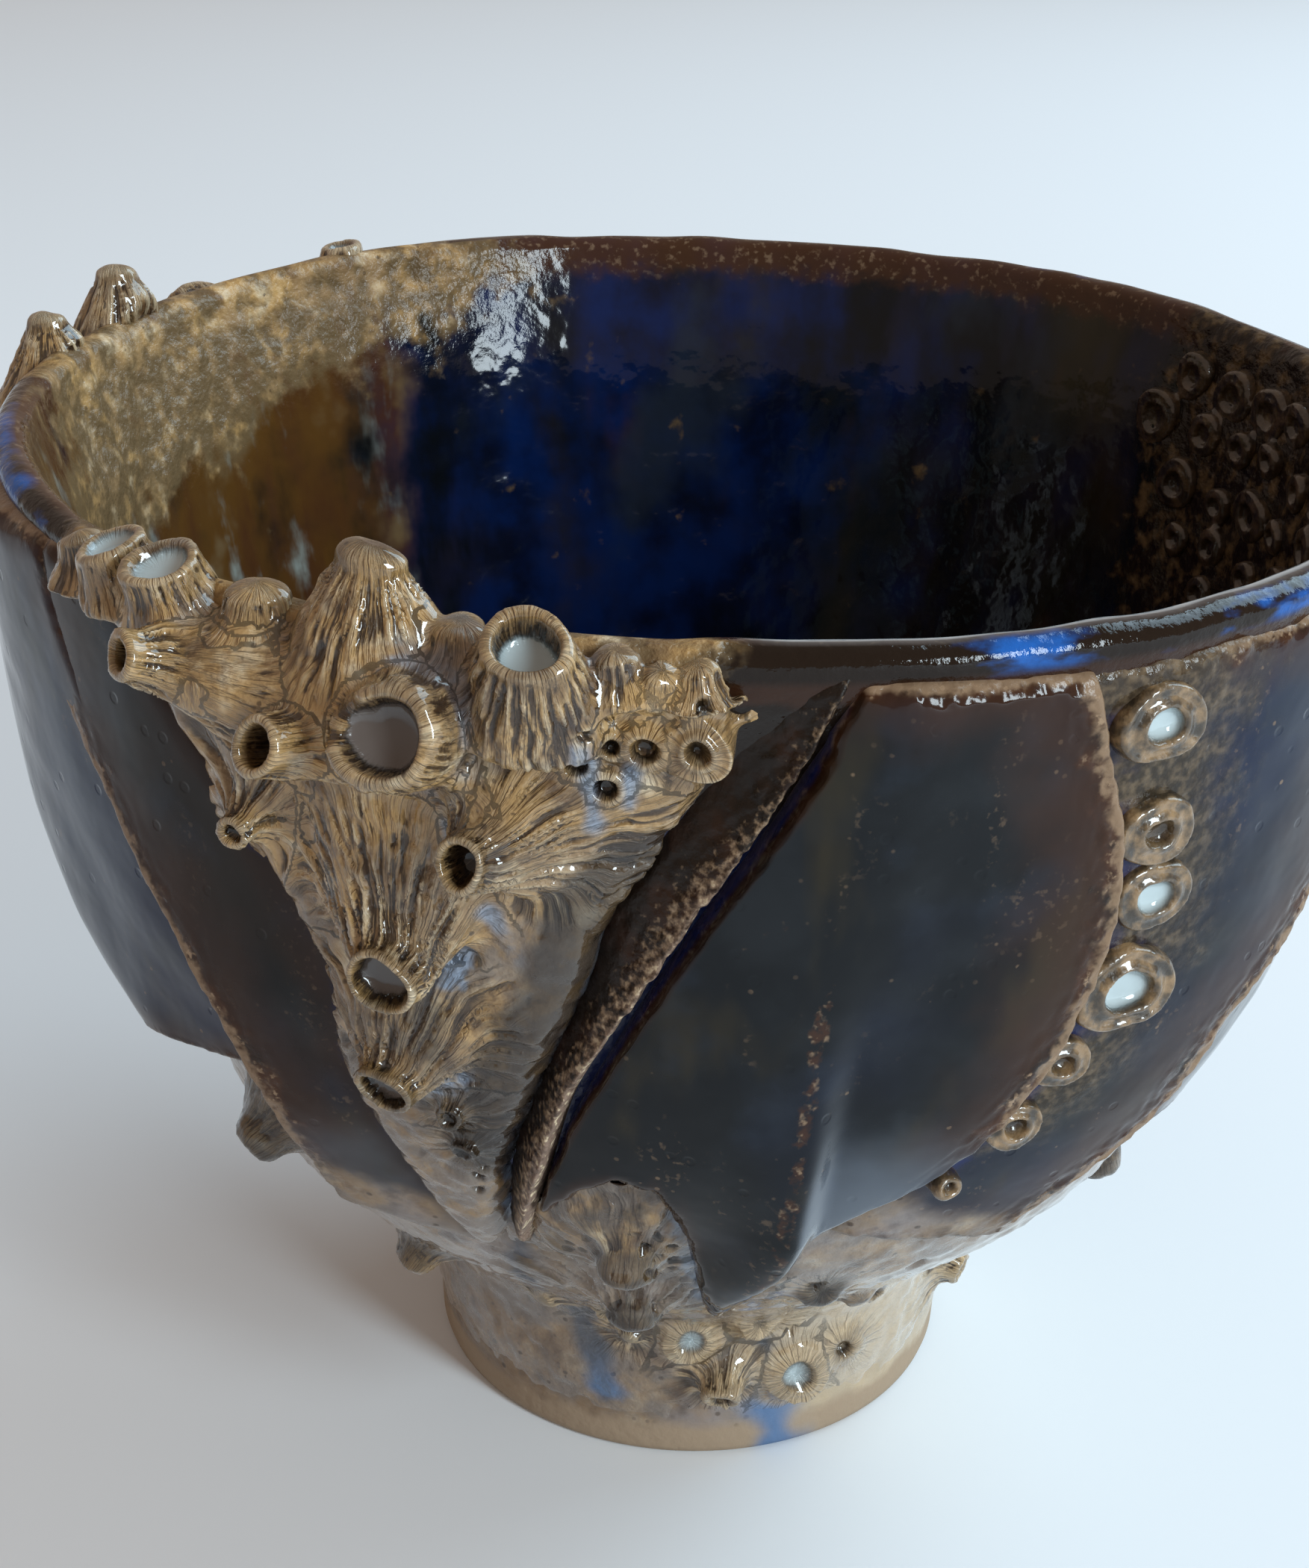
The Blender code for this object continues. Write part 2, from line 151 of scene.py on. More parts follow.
def lumps(points, size=1.0, shift=0.0):
    """Smooth noise from -1 to 1, with lumps about size across."""
    p = np.asarray(points, float) / size + shift
    cell = np.floor(p).astype(int)
    f = p - cell
    f = f * f * (3 - 2 * f)
    total = np.zeros(len(p))
    for corner in product((0, 1), repeat=3):
        at = (cell + corner) % CELLS
        weight = np.prod(np.where(corner, f, 1 - f), axis=1)
        total += weight * LATTICE[at[:, 0], at[:, 1], at[:, 2]]
    return total


print("lumps run from", round(LATTICE.min(), 2), "to", round(LATTICE.max(), 2))

# %% [markdown]
# Meshes are shaped by bmesh operators and then pushed about like clay: all points are read as one array,
# moved together and written back. The same array gives each point values that the glaze and clay finishes
# read.

# %% Read, move, smooth and paint mesh points
BARE = bpy.data.collections.new("barnacle_bowl")
bpy.context.scene.collection.children.link(BARE)


def read_points(mesh):
    flat = np.empty(len(mesh.vertices) * 3, np.float32)
    mesh.vertices.foreach_get("co", flat)
    return flat.reshape(-1, 3).astype(float)


def write_points(mesh, points):
    mesh.vertices.foreach_set("co", points.astype(np.float32).ravel())
    mesh.update()


def point_normals(mesh):
    flat = np.empty(len(mesh.vertices) * 3, np.float32)
    mesh.vertex_normals.foreach_get("vector", flat)
    return flat.reshape(-1, 3).astype(float)


def smoothed(mesh, points, times):
    """Each point moved to the mean of its neighbours, several times over."""
    ends = np.empty(len(mesh.edges) * 2, np.int32)
    mesh.edges.foreach_get("vertices", ends)
    a, b = ends.reshape(-1, 2).T
    count = np.bincount(a, minlength=len(points)) + np.bincount(b, minlength=len(points))
    for _ in range(times):
        total = np.zeros_like(points)
        for k in range(3):
            total[:, k] = np.bincount(a, points[b, k], len(points))
            total[:, k] += np.bincount(b, points[a, k], len(points))
        points = 0.5 * points + 0.5 * total / np.maximum(count, 1)[:, None]
    return points


def paint(mesh, name, values):
    kind = "FLOAT_VECTOR" if np.ndim(values) == 2 else "FLOAT"
    field = "vector" if kind == "FLOAT_VECTOR" else "value"
    attribute = mesh.attributes.get(name) or mesh.attributes.new(name, kind, "POINT")
    attribute.data.foreach_set(field, np.asarray(values, np.float32).ravel())


def new_piece(name, bm):
    """An object at the origin from a bmesh, smooth shaded."""
    mesh = bpy.data.meshes.new(name)
    bm.to_mesh(mesh)
    bm.free()
    mesh.shade_smooth()
    piece = bpy.data.objects.new(name, mesh)
    BARE.objects.link(piece)
    return piece


def triangles(mesh):
    return sum(len(face.vertices) - 2 for face in mesh.polygons)


PIECES = {}
print("pieces go in the collection", BARE.name)

# %% [markdown]
# The camera stands where the photograph was taken: a little over the rim, looking down by about 25
# degrees, with a slight roll. It was found by fitting the rim's ellipse, the foot and both outlines.

# %% Camera at the photograph's viewing angle
CAMERA_PLACE = Vector((-5.5 * MM, -248.2 * MM, 189.7 * MM))
CAMERA_DOWN = 25.44
CAMERA_ROLL = 1.15
CAMERA_LENS = 54.74


def set_camera():
    down, roll = radians(CAMERA_DOWN), radians(CAMERA_ROLL)
    ahead = Vector((0, cos(down), -sin(down)))
    right = Vector((1, 0, 0))
    up = right.cross(ahead)
    rolled_right = right * cos(roll) + up * sin(roll)
    rolled_up = up * cos(roll) - right * sin(roll)
    lens = bpy.data.cameras.new("photo_camera")
    lens.lens = CAMERA_LENS
    lens.sensor_width = 36
    lens.clip_start = 0.01
    camera = bpy.data.objects.new("photo_camera", lens)
    turn = Matrix((rolled_right, rolled_up, -ahead)).transposed()
    camera.matrix_world = Matrix.Translation(CAMERA_PLACE) @ turn.to_4x4()
    bpy.context.scene.collection.objects.link(camera)
    bpy.context.scene.camera = camera


set_camera()
print("camera", round(CAMERA_PLACE.length / MM), "mm from the bowl's foot")

# %% [markdown]
# The wall and foot are one turned profile. Spinning it about the axis gives clean rings of points, and it
# is cheap to push them by fractions of a millimetre afterwards for the beaten inside and the wavering
# rim.

# %% The turned wall, rim and foot
WALL_STEPS = 480
LIP_TOP = 0.9 * MM
LIP_HALF = 2 * MM
HAMMERED = 0.13 * MM
CLAY_LUMP = 0.55 * MM

# Where each colour lies round the bowl: its first and last angle and how softly it ends, in degrees
LEFT_CLAY = (-158, -88, 12)
RIGHT_CLAY = (82, 124, 7)
OCHRE_SIDE = (-141, -40, 14)
COBALT_SIDE = (160, 222, 26)
# The painted highlight along the lip's inner top edge, on the front right
LIP_HIGHLIGHT_SPAN = (2, 75, 2)
RIM_CLAYS = ((-50, -1, 6), (-152, -90, 6))
# Where the rim's top turns bright blue: partly cobalt glaze and partly a painted reflection
RIM_BLUES_AND_REFLECTIONS = ((14, 26, 5), (33, 75, 7), (128, 146, 5), (-84, -54, 6))

# How far down the inside the left clay reaches: from one angle to another, its lower edge in mm
LEFT_CLAY_ENDS = (-152, -100)
LEFT_CLAY_LOW = (109, 97)


def spun(profile, steps):
    """A closed shell turned about Z from (radius, height) points, both ends of which lie on the axis."""
    bm = bmesh.new()
    corners = [bm.verts.new((r, 0, h)) for r, h in profile]
    edges = [bm.edges.new(pair) for pair in zip(corners, corners[1:])]
    bmesh.ops.spin(
        bm, geom=corners + edges, cent=(0, 0, 0), axis=(0, 0, 1), angle=2 * pi, steps=steps, use_merge=True
    )
    bmesh.ops.remove_doubles(bm, verts=bm.verts[:], dist=0.00001 * MM)
    bmesh.ops.recalc_face_normals(bm, faces=bm.faces[:])
    return bm


def wall_profile():
    inside = [(0.0, FLOOR_HEIGHT)]
    for r in np.linspace(3, 21, 8) * MM:
        height = FLOOR_HEIGHT + (r / (22.5 * MM)) ** 2.6 * 5 * MM
        inside.append((float(r), float(height)))
    inside += [(float(inner_radius(z)), float(z)) for z in np.linspace(20, 116, 58) * MM]
    middle = RIM_RADIUS - 2 * MM
    lip = [
        (middle - LIP_HALF * cos(a), RIM_HEIGHT - LIP_TOP * 1.4 + LIP_TOP * 1.9 * sin(a))
        for a in np.linspace(0.15, pi - 0.15, 9)
    ]
    outside = [(float(wall_radius(z)), float(z)) for z in np.linspace(115.5, 1.2, 74) * MM]
    foot = [
        (FOOT_RADIUS - 0.2 * MM, 0.4 * MM),
        (FOOT_RADIUS - 0.9 * MM, 0),
        (FOOT_RING_INNER + 0.8 * MM, 0),
        (FOOT_RING_INNER, 0.6 * MM),
        (FOOT_RING_INNER - 0.8 * MM, FOOT_RECESS),
        (12 * MM, FOOT_RECESS),
        (0, FOOT_RECESS),
    ]
    return inside + lip + outside + foot


def angle_band(angle, low, high, soft):
    """1 between two angles in degrees and 0 outside them, with soft ends."""
    middle, half = (low + high) / 2, (high - low) / 2
    away = np.abs((angle - middle + 180) % 360 - 180)
    return 1 - smooth_step(half - soft, half + soft, away)


def turned_wall():
    piece = new_piece("turned_wall", spun(wall_profile(), WALL_STEPS))
    points = read_points(piece.data)
    angle, height, radius = polar(points)
    half_way = (inner_radius(height) + wall_radius(height)) / 2
    inside = smooth_step(0.6 * MM, -0.6 * MM, radius - half_way) * (height > FLOOR_HEIGHT - 0.1 * MM)
    outside = (1 - inside) * smooth_step(2 * MM, 9 * MM, height) * (radius > 28 * MM)
    clay_low = np.interp(angle, LEFT_CLAY_ENDS, LEFT_CLAY_LOW) + 3 * lumps(points, 8 * MM, 3)
    left_clay = inside * angle_band(angle, *LEFT_CLAY) * smooth_step(-7, 7, height / MM - clay_low)
    right_clay = inside * angle_band(angle, *RIGHT_CLAY) * smooth_step(74, 88, height / MM)
    push = inside * HAMMERED * lumps(points, 3.4 * MM)
    push += inside * 0.4 * HAMMERED * lumps(points, 1.6 * MM, 3.5)
    push += (left_clay + 0.7 * right_clay) * CLAY_LUMP * lumps(points, 3.6 * MM, 9)
    push += outside * 0.3 * MM * lumps(points, 9 * MM, 5)
    along = points / np.maximum(radius, 1 * MM)[:, None] * (1, 1, 0)
    facing = np.where(inside > 0.5, -1.0, 1.0)
    points += along * (push * facing)[:, None]
    points[:, 2] += rim_rise(angle) * smooth_step(80 * MM, RIM_HEIGHT, height)
    rim = smooth_step(112, 117.5, height / MM)
    points[:, 2] += rim * (0.25 * lumps(points, 6 * MM, 2) + 0.3 * left_clay * lumps(points, 3 * MM)) * MM
    write_points(piece.data, points)
    paint(piece.data, "inside", inside)
    paint(piece.data, "left_clay", left_clay)
    paint(piece.data, "right_clay", right_clay)
    paint(piece.data, "ochre", inside * angle_band(angle, *OCHRE_SIDE))
    paint(piece.data, "cobalt", inside * angle_band(angle, *COBALT_SIDE))
    paint(piece.data, "rim_clay", sum(angle_band(angle, *band) for band in RIM_CLAYS))
    # The rim's bright blue is partly cobalt glaze and partly a painted reflection
    paint(piece.data, "rim_blue_and_reflection", sum(angle_band(angle, *band) for band in RIM_BLUES_AND_REFLECTIONS))
    # A painted highlight: a thin pale line along the top of the lip, on its inner side
    on_lip = smooth_step(RIM_HEIGHT - 0.9 * MM, RIM_HEIGHT - 0.2 * MM, height)
    inner_side = smooth_step(RIM_RADIUS - 1.9 * MM, RIM_RADIUS - 2.4 * MM, radius)
    paint(piece.data, "lip_highlight", on_lip * inner_side * angle_band(angle, *LIP_HIGHLIGHT_SPAN))
    return piece


PIECES["turned_wall"] = turned_wall()
print("turned wall:", triangles(PIECES["turned_wall"].data), "triangles")

# %% [markdown]
# Each panel is a leaf of rolled clay, laid over the wall and pressed down at its edges. A flat grid is
# extruded to a closed slab. Its outer layer is bent between a left and a right edge and rounded down to
# the wall at its rim, and its inner layer is sunk inside the wall. The grid is denser near its edges.

# %% Outlines of the leaf-shaped panels
BITE = 2 * MM
EDGE_SINK = 1.2 * MM

# Each panel's left and right edges as angles and heights in mm from top to bottom, and how far it stands
# out in mm from left to right, at its top and at its bottom
PANELS = {
    "front_right": (
        (
            (8.5, 115), (4, 103), (-1.5, 91.5), (-6.8, 79), (-11.4, 67),
            (-14.6, 56.5), (-17, 46), (-17, 38), (-8, 32),
        ),
        ((24, 114), (28, 101), (29, 91), (28, 81), (25, 71), (20, 62.5), (13, 56), (7, 46), (3, 32)),
        (0.2, 1.6, 1.3, 1, 1.5),
        (0.6, 1.4, 1, 2.6, 2.5),
    ),
    "front_ridge": (
        ((1.5, 115.5), (-0.5, 107), (-6.5, 96), (-9.5, 86), (-13, 75), (-17, 62), (-20.5, 47)),
        ((8, 115.5), (3.7, 104), (-1, 94), (-5.4, 84), (-10.2, 72.5), (-13.6, 60), (-17.4, 46)),
        (-2.4, -1.8, -0.6, 1),
        (-1.8, -1, 0.5, 1.9),
    ),
    "right": (
        ((21, 114), (25, 101), (26, 90), (24, 79), (20, 69), (15, 60), (11, 51)),
        ((57, 114), (59, 101), (58, 90), (53.5, 80), (47, 70.5), (43, 60), (29, 46)),
        (0, 0.5, 0.8, 1.6),
        (-1, 0.3, 1.2, 2),
    ),
    "far_right": (
        ((53, 114), (54, 100), (52, 87), (47, 75), (42, 64), (36, 52)),
        ((84, 114), (86, 100), (87, 86), (85, 73), (79, 59), (66, 45)),
        (-1.6, -0.8, 0.3, 1),
        (-2.2, -1.4, 0.2, 1.5),
    ),
    "front_left": (
        ((-59, 115), (-56, 103), (-50, 92), (-44, 80), (-40, 68), (-38, 56), (-37, 46)),
        ((-44, 115), (-37, 103), (-31, 92), (-27, 80), (-27, 68), (-24, 56), (-20, 42)),
        (1.5, 1, 0.5, -0.5),
        (3.5, 2, 0.5, 0),
    ),
    "left": (
        ((-97, 114), (-96, 101), (-92, 89), (-86, 77), (-77, 66), (-64, 58)),
        ((-54, 115), (-50, 103), (-45, 92), (-39, 81), (-36, 72), (-35, 66)),
        (2, 3, 3, 1.5),
        (1.5, 4, 2, 0.5),
    ),
}
BACK_LEAF = (
    ((0, 114), (-3, 101), (-7, 88), (-13, 75), (-20, 62), (-27, 47)),
    ((34, 114), (32, 101), (29, 88), (24, 75), (15, 61), (-2, 44)),
    (1, 1, 1, 1.5),
    (0.5, 3, 2, 3),
)
BACK_LEAF_TURNS = {"back_right": 118, "back": 149, "back_left": 180}

# How wide each edge is rounded in mm, as left, right, top and bottom, how far it crumbles in mm, and how
# many cells its grid has
EDGES = {
    "front_right": ((1.1, 1.2, 2, 3), 0.25, (150, 170)),
    "front_ridge": ((3, 0.9, 3, 3), 0.24, (70, 220)),
    "right": ((3, 1.5, 2, 1.4), 0.3, (110, 150)),
    "far_right": ((3, 1.6, 2, 1.6), 0.15, (64, 90)),
    "front_left": ((1.2, 6, 3, 4), 0.2, (70, 120)),
    "left": ((2, 3, 3, 1.8), 0.15, (80, 100)),
}
BACK_EDGES = ((1.6, 1.6, 2, 1.8), 0.2, (64, 90))

# How fast the glaze thickens inwards from each panel's left, right and top edge; 1 is the usual
THICKENS = {"front_right": (6, 0.6), "front_left": (0.6, 1), "right": (1, 0.45)}
TOP_THICKENS = 1.5
HEM_THICKENS = 3
TOP_LIFT = 1.3 * MM
print(len(PANELS) + len(BACK_LEAF_TURNS), "panels are outlined")

# %% [markdown]
# The front panel has two features of its own. A crease was pinched up down its middle, sharp on its right
# side, and its lower edge waves over a fan of folds before it runs out to a tip. Both are worked out from
# a few heights and angles, so that the same grid can take them.

# %% The front panel's crease and wavy hem
# The crease down the front panel: its heights, angles and how far it stands out, gently on its left side
CREASE_HEIGHTS = (32 * MM, 39 * MM, 46 * MM, 57 * MM, 66 * MM, 74 * MM, 86 * MM, 94 * MM)
CREASE_ANGLES = (2, 3.4, 5, 6.2, 6.6, 7, 7.6, 8.2)
CREASE_RISES = (1.2 * MM, 2.4 * MM, 3.6 * MM, 4 * MM, 3.2 * MM, 1.9 * MM, 0.4 * MM, 0)
SOFT_CORNER = 5 * MM

# The front panel's wavy lower edge, left of its tip, where it arches over the fan of folds
HEM_ANGLES = (-24, -17.5, -13.5, -10, -7, -4.4, -2, -0.6, 0.8, 2.4)
HEM_HEIGHTS = tuple(h * MM for h in (50, 49.5, 54.5, 59, 61.5, 60, 53, 45, 36, 18))
HEM_LIP = 1.5 * MM


def edge_at(points, v):
    """Angles and heights on a panel's edge, v from 0 at its top to 1 at its bottom."""
    along = [k / (len(points) - 1) for k in range(len(points))]
    angle = curve_at([(t, p[0]) for t, p in zip(along, points)], v)
    height = curve_at([(t, p[1] * MM) for t, p in zip(along, points)], v)
    return angle, height


def spread_list(values, t):
    """A smooth curve through evenly spread values, read at t from 0 to 1."""
    return curve_at([(k / (len(values) - 1), s) for k, s in enumerate(values)], t)


def crease(angle, height):
    """How far the front panel stands out along its crease, how near each point is to the crease line, and a
    painted sheen right of it.
    """
    off = angle - np.interp(height, CREASE_HEIGHTS, CREASE_ANGLES)
    rise = np.interp(height, CREASE_HEIGHTS, CREASE_RISES)
    near = smooth_step(-1.7, -0.5, off) * smooth_step(0.8, 0.1, off) * smooth_step(93, 84, height / MM)
    # The flare right of the crease is a painted sheen: a lighter grey that stands for the reflection there
    flare = smooth_step(0.2, 1.8, off) * smooth_step(80, 57, height / MM + 0.4 * off)
    return rise * smooth_step(-11, 0, off) * smooth_step(3.6, 0.2, off), near, flare


def above_hem(angle, height):
    """How far each point lies above the front panel's wavy lower edge, measured square to it."""
    hem = np.interp(angle, HEM_ANGLES, HEM_HEIGHTS)
    ahead = np.interp(angle + 0.5, HEM_ANGLES, HEM_HEIGHTS)
    ahead = ahead - np.interp(angle - 0.5, HEM_ANGLES, HEM_HEIGHTS)
    slope = ahead / (radians(1) * skin_radius(height))
    return (height - hem) / np.hypot(1, slope)


print("the crease stands out by up to", max(CREASE_RISES) / MM, "mm")

# %% [markdown]
# One function bends a flat grid into any of the leaves. It measures how far each point lies from every
# edge, rounds the clay down to the wall there, makes it waver and crumble, and paints the distances on
# the mesh for the glaze, which thins out at edges.

# %% Bend a grid into a leaf of clay
# The line where the clay of the small rings shows through beside the front panel
ROW_HEIGHTS = tuple(h * MM for h in (60, 67, 74, 82, 92, 110))
ROW_ANGLES = (21, 25, 28, 30, 31, 30)
ROW_SPREAD = 15

# How blue each panel is, from 0 to 1
NAVY_SHARE = {"left": 1.0, "right": 0.35, "far_right": 0.5}
USUAL_NAVY = 0.1

# How much painted grey sheen the front left panel takes low down, where it mirrors the pale paper, and how
# brown it is at its top
LOW_SHEEN = 0.38
TOP_BROWN = 1.1


def rounded(distance, width):
    """A quarter circle's rise from 0 at an edge to 1 at width from it."""
    return np.sqrt(np.clip(1 - (1 - np.clip(distance / width, 0, 1)) ** 2, 0, 1))


def closer_at_edges(t):
    return 0.35 * t + 0.65 * (0.5 - 0.5 * np.cos(pi * t))


def leaf(name, left, right, top, low, edges, turn=0):
    """One panel, with the distance from its nearest edge painted on it in mm."""
    (lip_left, lip_right, lip_top, lip_low), crumble, cells = edges
    bm = bmesh.new()
    bmesh.ops.create_grid(bm, x_segments=cells[0], y_segments=cells[1], size=1)
    outer_count = len(bm.verts)
    bmesh.ops.extrude_face_region(bm, geom=bm.faces[:])
    piece = new_piece(name + "_panel", bm)
    flat = read_points(piece.data)
    u, v = closer_at_edges((flat[:, 0] + 1) / 2), closer_at_edges((1 - flat[:, 1]) / 2)
    (a0, z0), (a1, z1) = edge_at(left, v), edge_at(right, v)
    angle, height = a0 + (a1 - a0) * u + turn, z0 + (z1 - z0) * u
    height = height + TOP_LIFT * smooth_step(0.12, 0, v) * (z0 > 110 * MM)
    stand = spread_list(top, u) * MM
    stand += (spread_list(low, u) * MM - stand) * smooth_step(0, 0.75, v)
    streak, flare = np.zeros(len(flat)), np.zeros(len(flat))
    if name == "front_right":
        fold, streak, flare = crease(angle, height)
        stand = stand + fold
        lip_right = lip_right + SOFT_CORNER / MM * smooth_step(0.55, 0.75, v)
    if name == "front_left":
        # A painted sheen greys the front left panel low down
        flare = LOW_SHEEN * smooth_step(74, 56, height / MM)
    skin = skin_radius(height)
    width = np.hypot(np.radians(a1 - a0) * skin, z1 - z0)
    length = abs(left[0][1] - left[-1][1]) * MM * 1.15
    points = placed(angle, height, skin + stand)
    ragged = crumble * MM * (lumps(points, 1.6 * MM) + 0.6 * lumps(points, 0.8 * MM, 4))
    thickens_left, thickens_right = THICKENS.get(name, (1, 1))
    sides = [
        (u * width, lip_left * MM, thickens_left),
        ((1 - u) * width, lip_right * MM, thickens_right),
        (v * length, lip_top * MM, TOP_THICKENS),
        ((1 - v) * length, lip_low * MM, 1),
    ]
    if name == "front_right":
        sides.append((above_hem(angle, height), HEM_LIP, HEM_THICKENS))
    rise = np.ones(len(points))
    nearest = np.full(len(points), 1.0)
    for distance, lip, thickens in sides:
        inward = np.maximum(distance + ragged * smooth_step(0, 0.5 * MM, distance), 0)
        rise *= rounded(inward, lip)
        nearest = np.minimum(nearest, np.maximum(distance, 0) * thickens)
    base = wall_radius(height) - EDGE_SINK
    waver = 0.35 * MM * lumps(points, 13 * MM, 1) + 0.12 * MM * lumps(points, 5 * MM, 6)
    crumbly = smooth_step(0.1, 0.7, u) if name == "front_ridge" else 1 - smooth_step(1 * MM, 4 * MM, nearest)
    crumbs = 0.7 * crumble * MM * (lumps(points, 1 * MM, 8) + 0.6 * lumps(points, 0.6 * MM, 3)) * crumbly
    radius = base + (skin + stand + waver + crumbs - base) * rise
    inner = np.arange(len(points)) >= outer_count
    radius[inner] = wall_radius(height[inner]) - BITE
    write_points(piece.data, placed(angle, height, radius))
    bm = bmesh.new()
    bm.from_mesh(piece.data)
    bmesh.ops.recalc_face_normals(bm, faces=bm.faces[:])
    bm.to_mesh(piece.data)
    bm.free()
    beside = np.clip((angle - np.interp(height, ROW_HEIGHTS, ROW_ANGLES)) / ROW_SPREAD, 0, 1)
    soft_corner = 4 * smooth_step(0.5, 0.7, v) * smooth_step(0.4, 0.7, u) * (name == "front_right")
    paint(piece.data, "from_edge", nearest / MM + soft_corner)
    paint(piece.data, "navy", np.full(len(points), NAVY_SHARE.get(name, USUAL_NAVY)))
    paint(piece.data, "brown", TOP_BROWN * smooth_step(70, 88, height / MM) * (name == "front_left"))
    crest = u + 0.25 * smooth_step(95, 60, height / MM) - 0.3 * smooth_step(95, 110, height / MM)
    paint(piece.data, "crest", np.maximum(crest, 0.08) * (name == "front_ridge"))
    paint(piece.data, "flare", flare)
    paint(piece.data, "streak", streak)
    paint(piece.data, "row_clay", (1 - beside) * smooth_step(58, 66, height / MM) * (name == "right"))
    return piece


for panel_name, shape in PANELS.items():
    PIECES[panel_name] = leaf(panel_name, *shape, EDGES[panel_name])
for panel_name, leaf_turn in BACK_LEAF_TURNS.items():
    PIECES[panel_name] = leaf(panel_name, *BACK_LEAF, BACK_EDGES, leaf_turn)
print("panels:", sum(triangles(PIECES[n].data) for n in [*PANELS, *BACK_LEAF_TURNS]), "triangles")

# %% [markdown]
# A barnacle is a little volcano pinched up from the crust: a flared skirt, a shoulder, a rounded lip and
# a crater with a glazed floor. A limpet has no hole. The small ones are flat rings. Each is a spun
# profile, made uneven and laid along the line from its root to its mouth.

